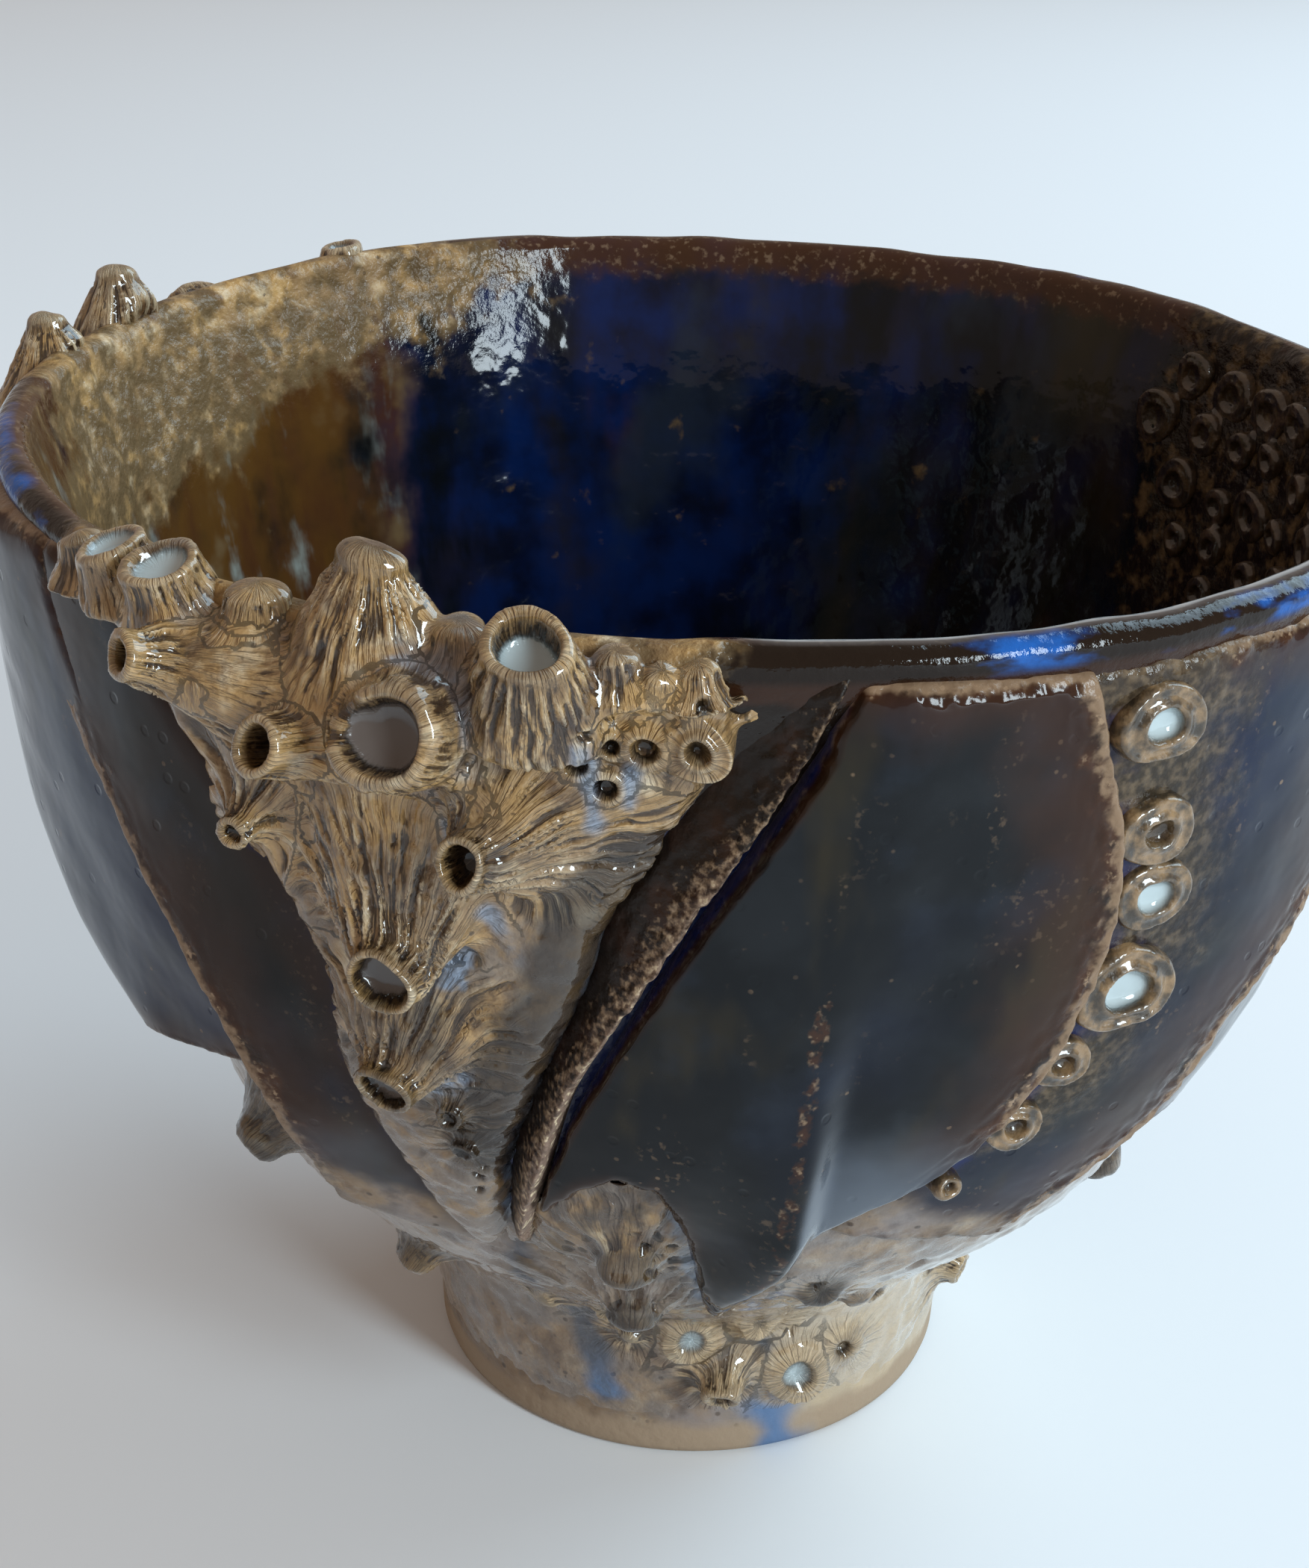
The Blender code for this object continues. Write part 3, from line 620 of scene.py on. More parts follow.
# %% Barnacles, limpets and rings
# Each one's root as an angle and a height in mm, its mouth as an angle, a height and how far it stands
# out, and its radii at the root, the mouth and the hole with the hole's depth, in mm
BARNACLES = {
    "limpet_rim": ((-23.2, 107), (-22.4, 124.4, -0.6), (12.6, 3.4, 0, 0)),
    "crater_rim": ((-12, 111.5), (-11.2, 120.8, 5), (6.4, 4, 2.6, 3)),
    "broken_ring": ((-19.8, 110.5), (-18.5, 113.4, 10.4), (6, 4.9, 3.2, 2.6)),
    "side_tube": ((-23, 107.5), (-26.6, 110, 10), (3.6, 2.7, 1.7, 3.5)),
    "pointing_cone": ((-29.5, 110.5), (-36.2, 114.6, 9.4), (7, 2.3, 1.2, 2.4)),
    "rim_ring_left": ((-43.6, 115), (-43.9, 119.8, 1.2), (5.2, 3.5, 2.2, 1)),
    "rim_ring_right": ((-38, 114.5), (-38.2, 120.2, 1.8), (5.6, 3.5, 2.3, 1.2)),
    "cone_upper": ((-11.8, 103.5), (-15.3, 100.9, 7.4), (8.6, 2.4, 1.6, 3)),
    "cone_middle": ((-22.8, 96), (-21.2, 87.2, 7.4), (9, 3.1, 2.4, 2.4)),
    "cone_lower": ((-22.6, 79), (-23.2, 73, 5.6), (7.6, 2.9, 2.1, 2)),
    "shoulder_lump": ((-33.5, 98.5), (-33.8, 96, 3.4), (6, 1.8, 0.8, 1)),
    "bud_upper": ((-20, 68.8), (-20, 68.2, 2), (3, 1.5, 0.7, 1)),
    "bud_lower": ((-19.4, 64.4), (-19.4, 63.8, 2), (2.8, 1.4, 0.7, 1)),
    "crust_ring_a": ((-9, 108.7), (-9, 108.7, 1.7), (1.9, 1.6, 0.9, 1.2)),
    "crust_ring_b": ((-7.2, 106.6), (-7.2, 106.6, 1.7), (1.9, 1.6, 0.9, 1.2)),
    "crust_ring_c": ((-4.8, 110.4), (-4.8, 110.4, 1.8), (2.4, 2, 1.1, 1.4)),
    "crust_ring_d": ((-1.6, 110.7), (-1.6, 110.7, 2.5), (3, 2.5, 1, 1.8)),
    "crust_ring_e": ((-6.9, 110.6), (-6.9, 110.6, 1.6), (1.4, 1.2, 0.7, 0.6)),
    "rim_crumb_a": ((-31.5, 114), (-31.2, 119, -0.4), (5.4, 2.8, 0, 0)),
    "rim_crumb_b": ((-16.6, 114.5), (-16.6, 119.4, -0.6), (4.6, 2.4, 0, 0)),
    "rim_crumb_c": ((-6.4, 114.8), (-6.6, 118.8, 0.6), (3.8, 2, 0, 0)),
    "rim_crumb_d": ((-4, 115.2), (-3.8, 117.6, 1.2), (2.6, 1.5, 0, 0)),
    "rim_crumb_e": ((-1.6, 114.6), (-1.8, 117.8, 0), (3.8, 1.9, 0, 0)),
    "rim_crumb_f": ((-49, 113.5), (-49.2, 118.2, 0), (4.6, 2.2, 0, 0)),
    "row_a": ((29.4, 109.4), (29.3, 109.4, 1.9), (4.1, 3.6, 1.7, 1.2)),
    "row_b": ((31, 98.2), (30.9, 98.2, 1.7), (3.7, 3.2, 1.4, 1.1)),
    "row_c": ((32, 91.2), (31.9, 91.2, 1.7), (3.8, 3.3, 1.8, 1.1)),
    "row_d": ((31.2, 81.5), (31.1, 81.5, 2.4), (4.9, 4.3, 2.3, 1.5)),
    "row_e": ((27.3, 74), (27.2, 73.9, 1.8), (2.9, 2.4, 1, 1.1)),
    "row_f": ((24.7, 66.7), (24.6, 66.7, 1.9), (2.8, 2.4, 1, 1.1)),
    "row_g": ((19.6, 60.8), (19.6, 60.8, 3), (1.5, 1.2, 0.6, 0.8)),
    "foot_gills": ((-7, 39.5), (-7, 36, 4.2), (9.4, 3, 0, 0)),
    "foot_gills_top": ((-7, 50), (-7, 47, 2.4), (8.4, 3.4, 0, 0)),
    "foot_ring": ((-0.4, 19), (-0.4, 19, 2.2), (3.6, 2.9, 1.5, 1.2)),
    "foot_cone": ((7, 13.5), (5.2, 11.8, 4.5), (4.6, 2.3, 1.1, 2)),
    "foot_pool": ((21.5, 12), (21.5, 12, 2.4), (4.4, 3.6, 2, 1.4)),
    "foot_dimple": ((32, 13.5), (32, 13.5, 1.6), (3, 2.4, 1.1, 1.2)),
    "foot_bump_a": ((-12, 19), (-12, 18.5, 2), (3.6, 1.6, 0, 0)),
    "foot_bump_b": ((-14, 26), (-14, 25.5, 2), (4, 1.8, 0.8, 1)),
    "foot_bump_c": ((-27, 24), (-27, 23.5, 1.6), (3.8, 2, 0, 0)),
    "foot_bump_d": ((12, 22), (12, 22, 1.4), (2.6, 1.8, 0.8, 1)),
    "foot_bump_e": ((30, 27), (30, 26.5, 1.8), (3.6, 1.8, 0.8, 1)),
    "foot_bump_f": ((14, 39), (14, 39, 1.6), (2.6, 1.8, 0.8, 1)),
    "foot_blob": ((24, 30), (24, 29.5, 2), (3.6, 2, 0, 0)),
    "foot_left": ((-42, 31), (-44, 28, 5), (5.5, 2.7, 1.4, 2)),
    "wall_left": ((-43, 55), (-45, 52, 4), (6, 3.2, 1.7, 2)),
    "rear_ring": ((167, 108), (167, 108.5, 3), (5, 3.6, 2, 1.6)),
    "rear_cone": ((175, 101), (177, 97.5, 8), (9, 3, 2.1, 3)),
    "rear_small_a": ((168, 93), (168, 93, 2.4), (3.8, 2.4, 1.2, 1.4)),
    "rear_small_b": ((162, 84), (162, 84, 2.4), (3.4, 2.1, 1, 1.2)),
    "back_limpet_a": ((-112, 111), (-112, 123.5, 0), (8.6, 2.4, 0, 0)),
    "back_limpet_b": ((-100.5, 111), (-100.5, 121.5, 0.5), (8, 2.2, 0, 0)),
    "back_rim_bump": ((-141, 114), (-141, 120, 0), (5.5, 3, 1.6, 1.2)),
    "back_crater": ((-125, 110), (-126, 115, 6), (8.5, 4.6, 2.7, 3)),
    "back_ring": ((-113, 101), (-112, 101, 5), (8, 4.5, 2.6, 2.5)),
    "back_tube": ((-136, 104), (-140, 105, 6), (5.5, 2.8, 1.5, 2.5)),
    "back_cone_a": ((-122, 93), (-119, 88, 7), (9, 3.1, 2.2, 3)),
    "back_cone_b": ((-113, 83), (-110, 77.5, 6), (8, 2.9, 2, 2.5)),
    "back_cone_c": ((-119, 71), (-118, 66, 5), (6.5, 2.6, 1.8, 2.2)),
    "back_side_cone": ((-98, 103), (-95.5, 99.5, 6.5), (8, 3, 2, 2.6)),
    "back_small_a": ((-103, 94), (-103, 94, 2.4), (3.8, 2.4, 1.2, 1.4)),
    "back_small_b": ((-115, 60), (-115, 59.5, 2), (3.2, 1.9, 1, 1.2)),
    "back_foot": ((-150, 13), (-150, 12, 3), (4.6, 2.6, 1.4, 1.6)),
    "right_crater": ((97, 109), (97, 114.5, 3), (8.5, 4.5, 2.7, 3)),
    "right_ring": ((108, 103), (108, 104, 4), (7.5, 4.4, 2.6, 2.2)),
    "right_cone_a": ((97, 97), (99, 92.5, 6), (8.5, 3, 2.1, 3)),
    "right_cone_b": ((92, 83), (92, 77.5, 6), (8, 2.9, 2, 2.5)),
    "right_cone_c": ((94, 68), (93, 63, 5), (6.5, 2.6, 1.8, 2.2)),
    "right_small_a": ((113, 93), (113, 93, 2.4), (3.8, 2.4, 1.2, 1.4)),
    "right_small_b": ((105, 84), (105, 84, 2.4), (3.6, 2.3, 1.1, 1.4)),
    "right_small_c": ((87, 109), (87, 109.5, 2.2), (3.8, 2.5, 1.3, 1.4)),
    "right_foot": ((70, 14), (70, 13, 3.5), (4.8, 2.5, 1.3, 1.8)),
    "right_wall_lump": ((64, 38), (65, 35, 3), (5.2, 2.9, 1.5, 1.8)),
}
print(len(BARNACLES), "barnacles, limpets and rings on the outside")

# %% [markdown]
# Inside the rim, on the right, small rings are pressed into the clay in loose rows. Seeded random numbers
# shift each one a little and choose its size, so that the rows read as scattered by hand.

# %% Rings inside the rim on the right
INNER_RING_STAND = 0.9
INNER_RING_PITCH = 6.2
INNER_RING_RADII = (1.5, 2.9)

# Each row's height in mm, how many rings it has and the angle that it starts at
INNER_RING_ROWS = ((111, 6, 122), (105, 6, 124), (99, 5, 119), (93, 4, 117), (87, 3, 112))


def scatter_inner_rings():
    choice = np.random.default_rng(11)
    smallest, largest = INNER_RING_RADII
    rings = []
    for row_height, row_count, row_start in INNER_RING_ROWS:
        for k in range(row_count):
            off_angle, off_height, radius = choice.uniform((-1, -1, smallest), (1, 1, largest))
            rings.append((row_start - INNER_RING_PITCH * k + off_angle, row_height + off_height, radius))
    for k, (angle, height, radius) in enumerate(rings):
        sizes = (radius + 0.6, radius, radius * 0.55, 1)
        BARNACLES[f"inner_ring_{k}"] = ((angle, height), (angle, height, INNER_RING_STAND), sizes)
    return len(rings)


print(scatter_inner_rings(), "rings inside the rim")

# %% [markdown]
# A barnacle's line runs from its root to its mouth, and near the mouth it may bend to face outwards.
# Where the mouth hangs below the root, the root's rings stay parallel to the bowl's skin, so that no disc
# of clay stands out over it.

# %% The line of a barnacle, and how it swells
# How far a mouth turns from its cone's line to face outwards, and how a cone swells from mouth to root
MOUTH_TILT = {
    "broken_ring": 0.8,
    "pointing_cone": 0.65,
    "cone_upper": 0.6,
    "cone_middle": 0.65,
    "cone_lower": 0.5,
    "side_tube": 0.25,
    "shoulder_lump": 0.5,
}
USUAL_SWELL = 1.7
SWELL = {
    "crater_rim": 0.75,
    "limpet_rim": 0.8,
    "broken_ring": 1,
    "side_tube": 1,
    "pointing_cone": 1.1,
    "foot_gills": 1.1,
    "foot_gills_top": 1.1,
    "cone_upper": 1.3,
    "cone_middle": 1.15,
    "cone_lower": 1.15,
    "back_limpet_a": 0.9,
    "back_limpet_b": 0.9,
}
FLATTENED = {"limpet_rim": 0.6}
CONE_SPREAD = 1.7


def unit(vector):
    return vector / np.linalg.norm(vector)


def skin_normal(angle, height):
    """The direction straight out of the bowl's skin."""
    slope = float(skin_radius(height + 1 * MM) - skin_radius(height - 1 * MM)) / (2 * MM)
    return unit(placed(angle, -slope, 1.0))


def barnacle_bend(name):
    """A barnacle's root, its bend, its length to the bend and beyond, and its root's and mouth's turns."""
    root, mouth = BARNACLES[name][:2]
    inward = name.startswith("inner")
    face = inner_radius if inward else skin_radius
    out = -mouth[2] * MM if inward else mouth[2] * MM
    start = placed(root[0], root[1] * MM, face(root[1] * MM))
    end = placed(mouth[0], mouth[1] * MM, face(mouth[1] * MM) + out)
    line = unit(end - start)
    tilt = MOUTH_TILT.get(name, 0)
    facing = unit(line * (1 - tilt) + unit(placed(mouth[0], 0.4, 1.0)) * tilt)
    neck = 0.25 * np.linalg.norm(end - start)
    bend = end - facing * neck
    hangs = mouth[1] < root[1] and not inward
    root_facing = skin_normal(root[0], root[1] * MM) if hangs else unit(bend - start)
    root_turn = Vector(root_facing).to_track_quat("Z", "Y")
    mouth_turn = Vector(root_facing).rotation_difference(Vector(facing)) @ root_turn
    reach = float(np.linalg.norm(bend - start))
    return start, bend, reach, neck, np.array(root_turn.to_matrix()), np.array(mouth_turn.to_matrix())


def is_cone(name):
    mouth, radii = BARNACLES[name][1:]
    return radii[0] > CONE_SPREAD * radii[1] or mouth[2] > 4 or mouth[1] > RIM_HEIGHT / MM


def cone_radius(name, share):
    """The cone's radius at a share of its length; below its root it flares on, under the skin."""
    root_radius, mouth_radius = (r * MM for r in BARNACLES[name][2][:2])
    swell = np.clip(1 - share, 0, 1.3) ** SWELL.get(name, USUAL_SWELL)
    return mouth_radius + (root_radius - mouth_radius) * swell


print(sum(map(is_cone, BARNACLES)), "of", len(BARNACLES), "are cones")

# %% [markdown]
# The profile is a cone with a shoulder, or a low flat ring, with a rounded lip and a crater. It is spun
# closed, made a little oval and uneven, and then laid along its line. Points that would come through the
# wall are held back.

# %% Spin one barnacle
ROOT_DEPTH = 3 * MM
LIP_WIDTH = 1.1 * MM
BARNACLE_STEPS = 40

# The broken ring's notch: where it is, as an angle in radians round the ring, and how deep
NOTCH = 2.8
NOTCH_DEPTH = 2.2 * MM

# How oval the rings of the panel row are, and all others
ROW_OVAL = 0.13
USUAL_OVAL = 0.06


def barnacle_profile(name):
    root_radius, mouth_radius, hole, depth = (r * MM for r in BARNACLES[name][2])
    reach, neck = barnacle_bend(name)[2:4]
    length = reach + neck
    if is_cone(name):
        shoulder = max(1 - 1.2 * MM / length, 0.6)
        profile = [(0, -ROOT_DEPTH)]
        for share in np.linspace(-0.3, shoulder, 13):
            profile.append((float(cone_radius(name, share / shoulder)), share * length))
        profile[1] = (profile[1][0], -ROOT_DEPTH)
    else:
        profile = [(0, -ROOT_DEPTH), (root_radius, -ROOT_DEPTH), (root_radius, 0.3 * length)]
        profile += [(0.97 * root_radius, 0.7 * length), (0.9 * root_radius, 0.9 * length)]
        middle = max((0.9 * root_radius + hole + 0.6 * MM) / 2, hole + 0.65 * MM)
        profile += [(middle, 0.7 * length)]
    if not hole:
        for a in np.linspace(0.3, pi / 2, 6):
            profile.append((mouth_radius * cos(a), length - 0.7 * MM + mouth_radius * 0.5 * sin(a)))
        profile[-1] = (0, profile[-1][1])
        return profile
    lip = min(hole + LIP_WIDTH, mouth_radius)
    profile += [
        (lip if is_cone(name) else hole + 0.6 * MM, length - 0.12 * MM),
        (hole + 0.35 * MM, length + 0.12 * MM),
        (hole + 0.05 * MM, length - 0.15 * MM),
        (hole * 0.97, length - 0.5 * depth),
        (hole * 0.85, length - 0.85 * depth),
        (hole * 0.5, length - depth),
        (0, length - depth * 1.02),
    ]
    return profile


def add_barnacle(bm, name):
    """Spins one barnacle, makes it uneven, bends its mouth and adds it, clear of the wall's far side."""
    start, bend, reach, neck, root_turn, mouth_turn = barnacle_bend(name)
    length, hole, inward = reach + neck, BARNACLES[name][2][2] * MM, name.startswith("inner")
    shell = spun(barnacle_profile(name), BARNACLE_STEPS)
    mesh = bpy.data.meshes.new(name)
    shell.to_mesh(mesh)
    shell.free()
    points = read_points(mesh)
    around = np.arctan2(points[:, 1], points[:, 0])
    seed = sum(name.encode()) % 50
    if name.startswith("row_"):
        swell = 1 + ROW_OVAL * np.cos(2 * around)
    else:
        swell = 1 + USUAL_OVAL * np.cos(2 * around + seed)
    swell += 0.04 * np.sin(3 * around + 2 * seed)
    swell += 0.05 * lumps(points, 2.5 * MM, seed)
    in_hole = (np.hypot(points[:, 0], points[:, 1]) < hole + 0.02 * MM) & (points[:, 2] > 0)
    points[:, :2] *= swell[:, None]
    near_mouth = smooth_step(length - 3 * MM, length, points[:, 2])
    points[:, 2] += near_mouth * min(0.25, 0.08 * length / MM) * MM * np.sin(around + seed)
    if name == "broken_ring":
        points[:, 2] -= NOTCH_DEPTH * near_mouth * smooth_step(0.75, 1, np.cos(around - NOTCH))
    below_root = points[:, 2] < 0
    local = points * (1, 1, 0)
    turned = np.where(in_hole, 1, smooth_step(0.35 * length, 0.85 * length, points[:, 2]))[:, None]
    beyond = (in_hole | (points[:, 2] > reach))[:, None]
    on_axis = start + points[:, 2:] * unit(bend - start)
    past_bend = bend + (points[:, 2:] - reach) * mouth_turn[:, 2]
    points = np.where(beyond, past_bend, on_axis)
    points += (local @ root_turn.T) * (1 - turned)
    points += (local @ mouth_turn.T) * turned
    angle, height, radius = polar(points)
    radius = skin_radius(height) + (radius - skin_radius(height)) * FLATTENED.get(name, 1)
    if inward:
        kept = np.minimum(radius, wall_radius(height) - 1.5 * MM)
    else:
        kept = np.where(below_root, np.minimum(radius, skin_radius(height) - 0.5 * MM), radius)
        over_rim = 4 * MM * smooth_step(117, 122, height / MM)
        kept = np.maximum(kept, inner_radius(height) + 1.3 * MM - over_rim)
    write_points(mesh, placed(angle, height, kept))
    bm.from_mesh(mesh)
    bpy.data.meshes.remove(mesh)


print("a barnacle's profile has", len(barnacle_profile("cone_upper")), "points")

# %% [markdown]
# On the real bowl the barnacles melt into a crust of the same clay, so hard creases between them would
# look wrong. The crust and its barnacles are fused by a voxel remesh and smoothed a little. Then each
# barnacle's skirt is scored with the radial grooves that a needle tool leaves, pits are pressed in, and
# the surface is left crumbly.

# %% Slabs of crust
# Each crust's left and right edges, as angles and heights in mm from top to bottom
CRUSTS = {
    "front_crust": (
        ((-49, 116), (-42, 104), (-35, 93), (-31, 82), (-31, 70), (-28, 57), (-25, 44)),
        ((2, 116), (0, 107), (-6, 95), (-9, 84), (-13, 72), (-17, 60), (-20, 46)),
    ),
    "back_left_crust": (
        ((-150, 116), (-144, 103), (-136, 90), (-130, 77), (-125, 64), (-121, 50)),
        ((-91, 116), (-93, 103), (-97, 90), (-101, 77), (-105, 64), (-109, 50)),
    ),
    "right_crust": (
        ((80, 116), (82, 103), (83, 90), (83, 77), (81, 64), (77, 50)),
        ((126, 116), (121, 103), (115, 90), (109, 77), (102, 64), (94, 50)),
    ),
}
CRUST_CELLS = (30, 40)
FOOT_CLAY_LOW = 3.5
FOOT_CLAY_TOP = 60


def crust_slab(bm, left, right):
    """A thin bent slab of clay between two edges, closed inside the wall."""
    slab = bmesh.new()
    bmesh.ops.create_grid(slab, x_segments=CRUST_CELLS[0], y_segments=CRUST_CELLS[1], size=1)
    outer_count = len(slab.verts)
    bmesh.ops.extrude_face_region(slab, geom=slab.faces[:])
    mesh = bpy.data.meshes.new("slab")
    slab.to_mesh(mesh)
    slab.free()
    flat = read_points(mesh)
    u, v = (flat[:, 0] + 1) / 2, (1 - flat[:, 1]) / 2
    (a0, z0), (a1, z1) = edge_at(left, v), edge_at(right, v)
    angle, height = a0 + (a1 - a0) * u, z0 + (z1 - z0) * u
    skin = skin_radius(height)
    edge = np.minimum(u, 1 - u) * np.radians(a1 - a0) * skin
    top = skin + 0.7 * MM + 0.4 * MM * lumps(placed(angle, height, skin), 5 * MM)
    base = wall_radius(height) - 1 * MM
    radius = base + (top - base) * rounded(edge, 3 * MM)
    inner = np.arange(len(flat)) >= outer_count
    radius[inner] = wall_radius(height[inner]) - BITE
    write_points(mesh, placed(angle, height, radius))
    slab = bmesh.new()
    slab.from_mesh(mesh)
    bmesh.ops.recalc_face_normals(slab, faces=slab.faces[:])
    slab.to_mesh(mesh)
    slab.free()
    bm.from_mesh(mesh)
    bpy.data.meshes.remove(mesh)


def foot_slab(bm):
    """A ring of clay round the foot and the flare over it."""
    heights = np.linspace(FOOT_CLAY_LOW, FOOT_CLAY_TOP, 48) * MM
    swell = 1 * MM * smooth_step(3, 11, heights / MM)
    swell = swell * (1 - smooth_step(44, FOOT_CLAY_TOP, heights / MM)) - 0.3 * MM
    outer = [(float(wall_radius(z) + s), float(z)) for z, s in zip(heights, swell)]
    inner = [(float(wall_radius(z) - 2 * MM), float(z)) for z in heights[::-1]]
    shell = bmesh.new()
    corners = [shell.verts.new((r, 0, z)) for r, z in outer + inner]
    edges = [shell.edges.new(pair) for pair in zip(corners, corners[1:] + corners[:1])]
    bmesh.ops.spin(
        shell, geom=corners + edges, cent=(0, 0, 0), axis=(0, 0, 1), angle=2 * pi, steps=160, use_merge=True
    )
    bmesh.ops.recalc_face_normals(shell, faces=shell.faces[:])
    mesh = bpy.data.meshes.new("foot_slab")
    shell.to_mesh(mesh)
    shell.free()
    bm.from_mesh(mesh)
    bpy.data.meshes.remove(mesh)


print(len(CRUSTS), "crusts and the clay of the foot")

# %% [markdown]
# After a group is fused nothing says which barnacle a point came from, so each point looks for the
# nearest one. It gets its gap to that barnacle, its share of the way up, and a place in a space where the
# radial grooves are straight lines, which the grooves and the clay's finish both read.

# %% Find each point's barnacle
GROOVE_PITCH = 1.05
GROOVE_LENGTH = 4.5 * MM

# The depth of the usual grooves in mm, on a wide root and on a narrow one
USUAL_GROOVES = (0.5, 0.32)
WIDE_ROOT = 6 * MM

# The pitch and the depth of the widest grooves, in mm
DEEP_GROOVES = {
    "foot_gills": (2.3, 1.1),
    "foot_gills_top": (2.3, 0.5),
    "shoulder_lump": (1.4, 0.7),
    "limpet_rim": (1.3, 0.65),
    "cone_middle": (1.2, 0.6),
    "cone_lower": (1.2, 0.6),
}
SMOKY_POOLS = ("broken_ring", "cone_middle", "cone_lower")
POOLED = (
    *SMOKY_POOLS,
    *("crater_rim", "rim_ring_left", "rim_ring_right"),
    *("row_a", "row_c", "row_d", "foot_pool", "foot_ring"),
    *("back_crater", "back_ring", "back_rim_bump", "rear_ring", "right_crater", "right_ring"),
)


def evaluated(piece, kind, settings):
    """The piece's mesh after one modifier, put in place of its own."""
    modifier = piece.modifiers.new(kind.lower(), kind)
    for key, value in settings.items():
        setattr(modifier, key, value)
    graph = bpy.context.evaluated_depsgraph_get()
    mesh = bpy.data.meshes.new_from_object(piece.evaluated_get(graph))
    piece.modifiers.clear()
    old = piece.data
    piece.data = mesh
    mesh.name = old.name
    bpy.data.meshes.remove(old)


def nearest_barnacle(points, names):
    """For each point: the gap to its nearest barnacle, where it lies along it, and its groove place."""
    count = len(points)
    found = {key: np.full(count, 9.0) for key in ("gap", "next_gap", "share")}
    found.update({key: np.zeros(count) for key in ("depth", "hole", "pool", "smoky")})
    found["grain"] = np.zeros((count, 3))
    for k, name in enumerate(names):
        start, bend, reach, neck, root_turn, mouth_turn = barnacle_bend(name)
        root_radius, mouth_radius, hole, hole_depth = (r * MM for r in BARNACLES[name][2])
        round_points = points
        if name in FLATTENED:
            angle, height, radius = polar(points)
            skin = skin_radius(height)
            round_points = placed(angle, height, skin + (radius - skin) / FLATTENED[name])
        axis, from_root = unit(bend - start), round_points - start
        climbed = from_root @ root_turn[:, 2:] / (axis @ root_turn[:, 2])
        from_root = (from_root - climbed * axis) @ root_turn + climbed * (0, 0, 1)
        from_bend = (round_points - bend) @ mouth_turn
        turned = smooth_step(-1 * MM, 1 * MM, from_bend[:, 2])[:, None]
        local = from_root * (1 - turned) + (from_bend + (0, 0, reach)) * turned
        length, along = reach + neck, local[:, 2]
        out = np.hypot(local[:, 0], local[:, 1])
        share = along / length
        gap = np.abs(out - cone_radius(name, share)) * 0.8
        gap += np.maximum(-along - 4 * MM, 0) + np.maximum(along - length - 1 * MM, 0)
        gap = np.where((out < mouth_radius) & (share > 0.3) & (along < length + 1.5 * MM), 0, gap)
        nearer = gap < found["gap"]
        found["next_gap"] = np.where(nearer, found["gap"], np.minimum(found["next_gap"], gap))
        usual = (GROOVE_PITCH, USUAL_GROOVES[0] if root_radius > WIDE_ROOT else USUAL_GROOVES[1])
        pitch, deep = DEEP_GROOVES.get(name, usual)
        reach_round = (root_radius + mouth_radius) / (pitch * MM)
        turn = np.arctan2(local[:, 1], local[:, 0])
        grain = np.stack([np.cos(turn) * reach_round, np.sin(turn) * reach_round, along / GROOVE_LENGTH], -1)
        floor = neck - hole_depth
        across_hole = np.hypot(from_bend[:, 0], from_bend[:, 1])
        depth_in = from_bend[:, 2]
        inside_hole = (across_hole < hole + 0.3 * MM) & (depth_in < neck - 0.1 * MM)
        inside_hole = inside_hole & (depth_in > floor - 1 * MM)
        in_hole = np.where(inside_hole & (hole > 0), smooth_step(neck, floor, depth_in), 0)
        pool = in_hole * (name in POOLED) * smooth_step(floor + 0.9 * MM, floor + 0.5 * MM, depth_in)
        values = {"gap": gap, "share": share, "grain": grain + 7.3 * k, "hole": in_hole, "pool": pool}
        values["depth"] = np.full(count, deep * MM * is_cone(name))
        values["smoky"] = np.full(count, float(name in SMOKY_POOLS))
        for key, value in values.items():
            found[key][nearer] = value[nearer]
    return found


print(len(POOLED), "craters hold a drop of glass")

# %% [markdown]
# A needle tool scored the skirts of the barnacles, and small pits were pressed into the crust. Both are
# pushed into the fused mesh, with noise that runs along the grooves rather than across them.

# %% Grooves, pits and the valley beside the crust
GROOVE_WAVER = 0.55
PIT_DEPTH = 0.9 * MM

# Each pit's angle, and its height and radius in mm
PITS = (
    (-19.4, 59, 0.8),
    (-19.9, 56.6, 0.7),
    (-18.6, 60.6, 0.5),
    (-5, 51.5, 0.6),
    (-3.8, 50, 0.5),
    (-2.8, 51.5, 0.55),
    (-2.6, 49, 0.6),
    (-4, 53, 0.45),
    (-6, 53.5, 0.5),
    (-4.8, 48.4, 0.45),
    (13, 40, 0.9),
    (25, 40.6, 1.1),
    (32.4, 13.2, 0.9),
    (19.6, 18.4, 1.1),
    (-8, 112.6, 0.6),
    (-9, 108.7, 1),
    (-7.2, 106.6, 1),
    (-6.9, 110.6, 0.8),
    (-4.8, 110.4, 1.1),
    (-1.3, 115, 0.9),
    (0.9, 115.8, 0.9),
    (0.9, 113.6, 1),
)


def grooves(found, points):
    """How deep each point lies in its barnacle's radial grooves, from 0 to 1, and how strongly they show."""
    found["grain"][:, :2] += GROOVE_WAVER * np.stack([lumps(points, 3 * MM, k) for k in (1, 6)], -1)
    coarse = smooth_step(-0.05, 0.4, -lumps(found["grain"]))
    fine = smooth_step(-0.05, 0.4, -lumps(found["grain"] * (1.6, 1.6, 1.7), 1, 11))
    shown = 1 - smooth_step(1.5 * MM, 5 * MM, found["gap"])
    shown *= 1 - smooth_step(0.86, 0.97, found["share"])
    shown *= smooth_step(0, 1.2 * MM, found["next_gap"] - found["gap"])
    return np.clip(0.75 * coarse + 0.5 * fine, 0, 1), shown


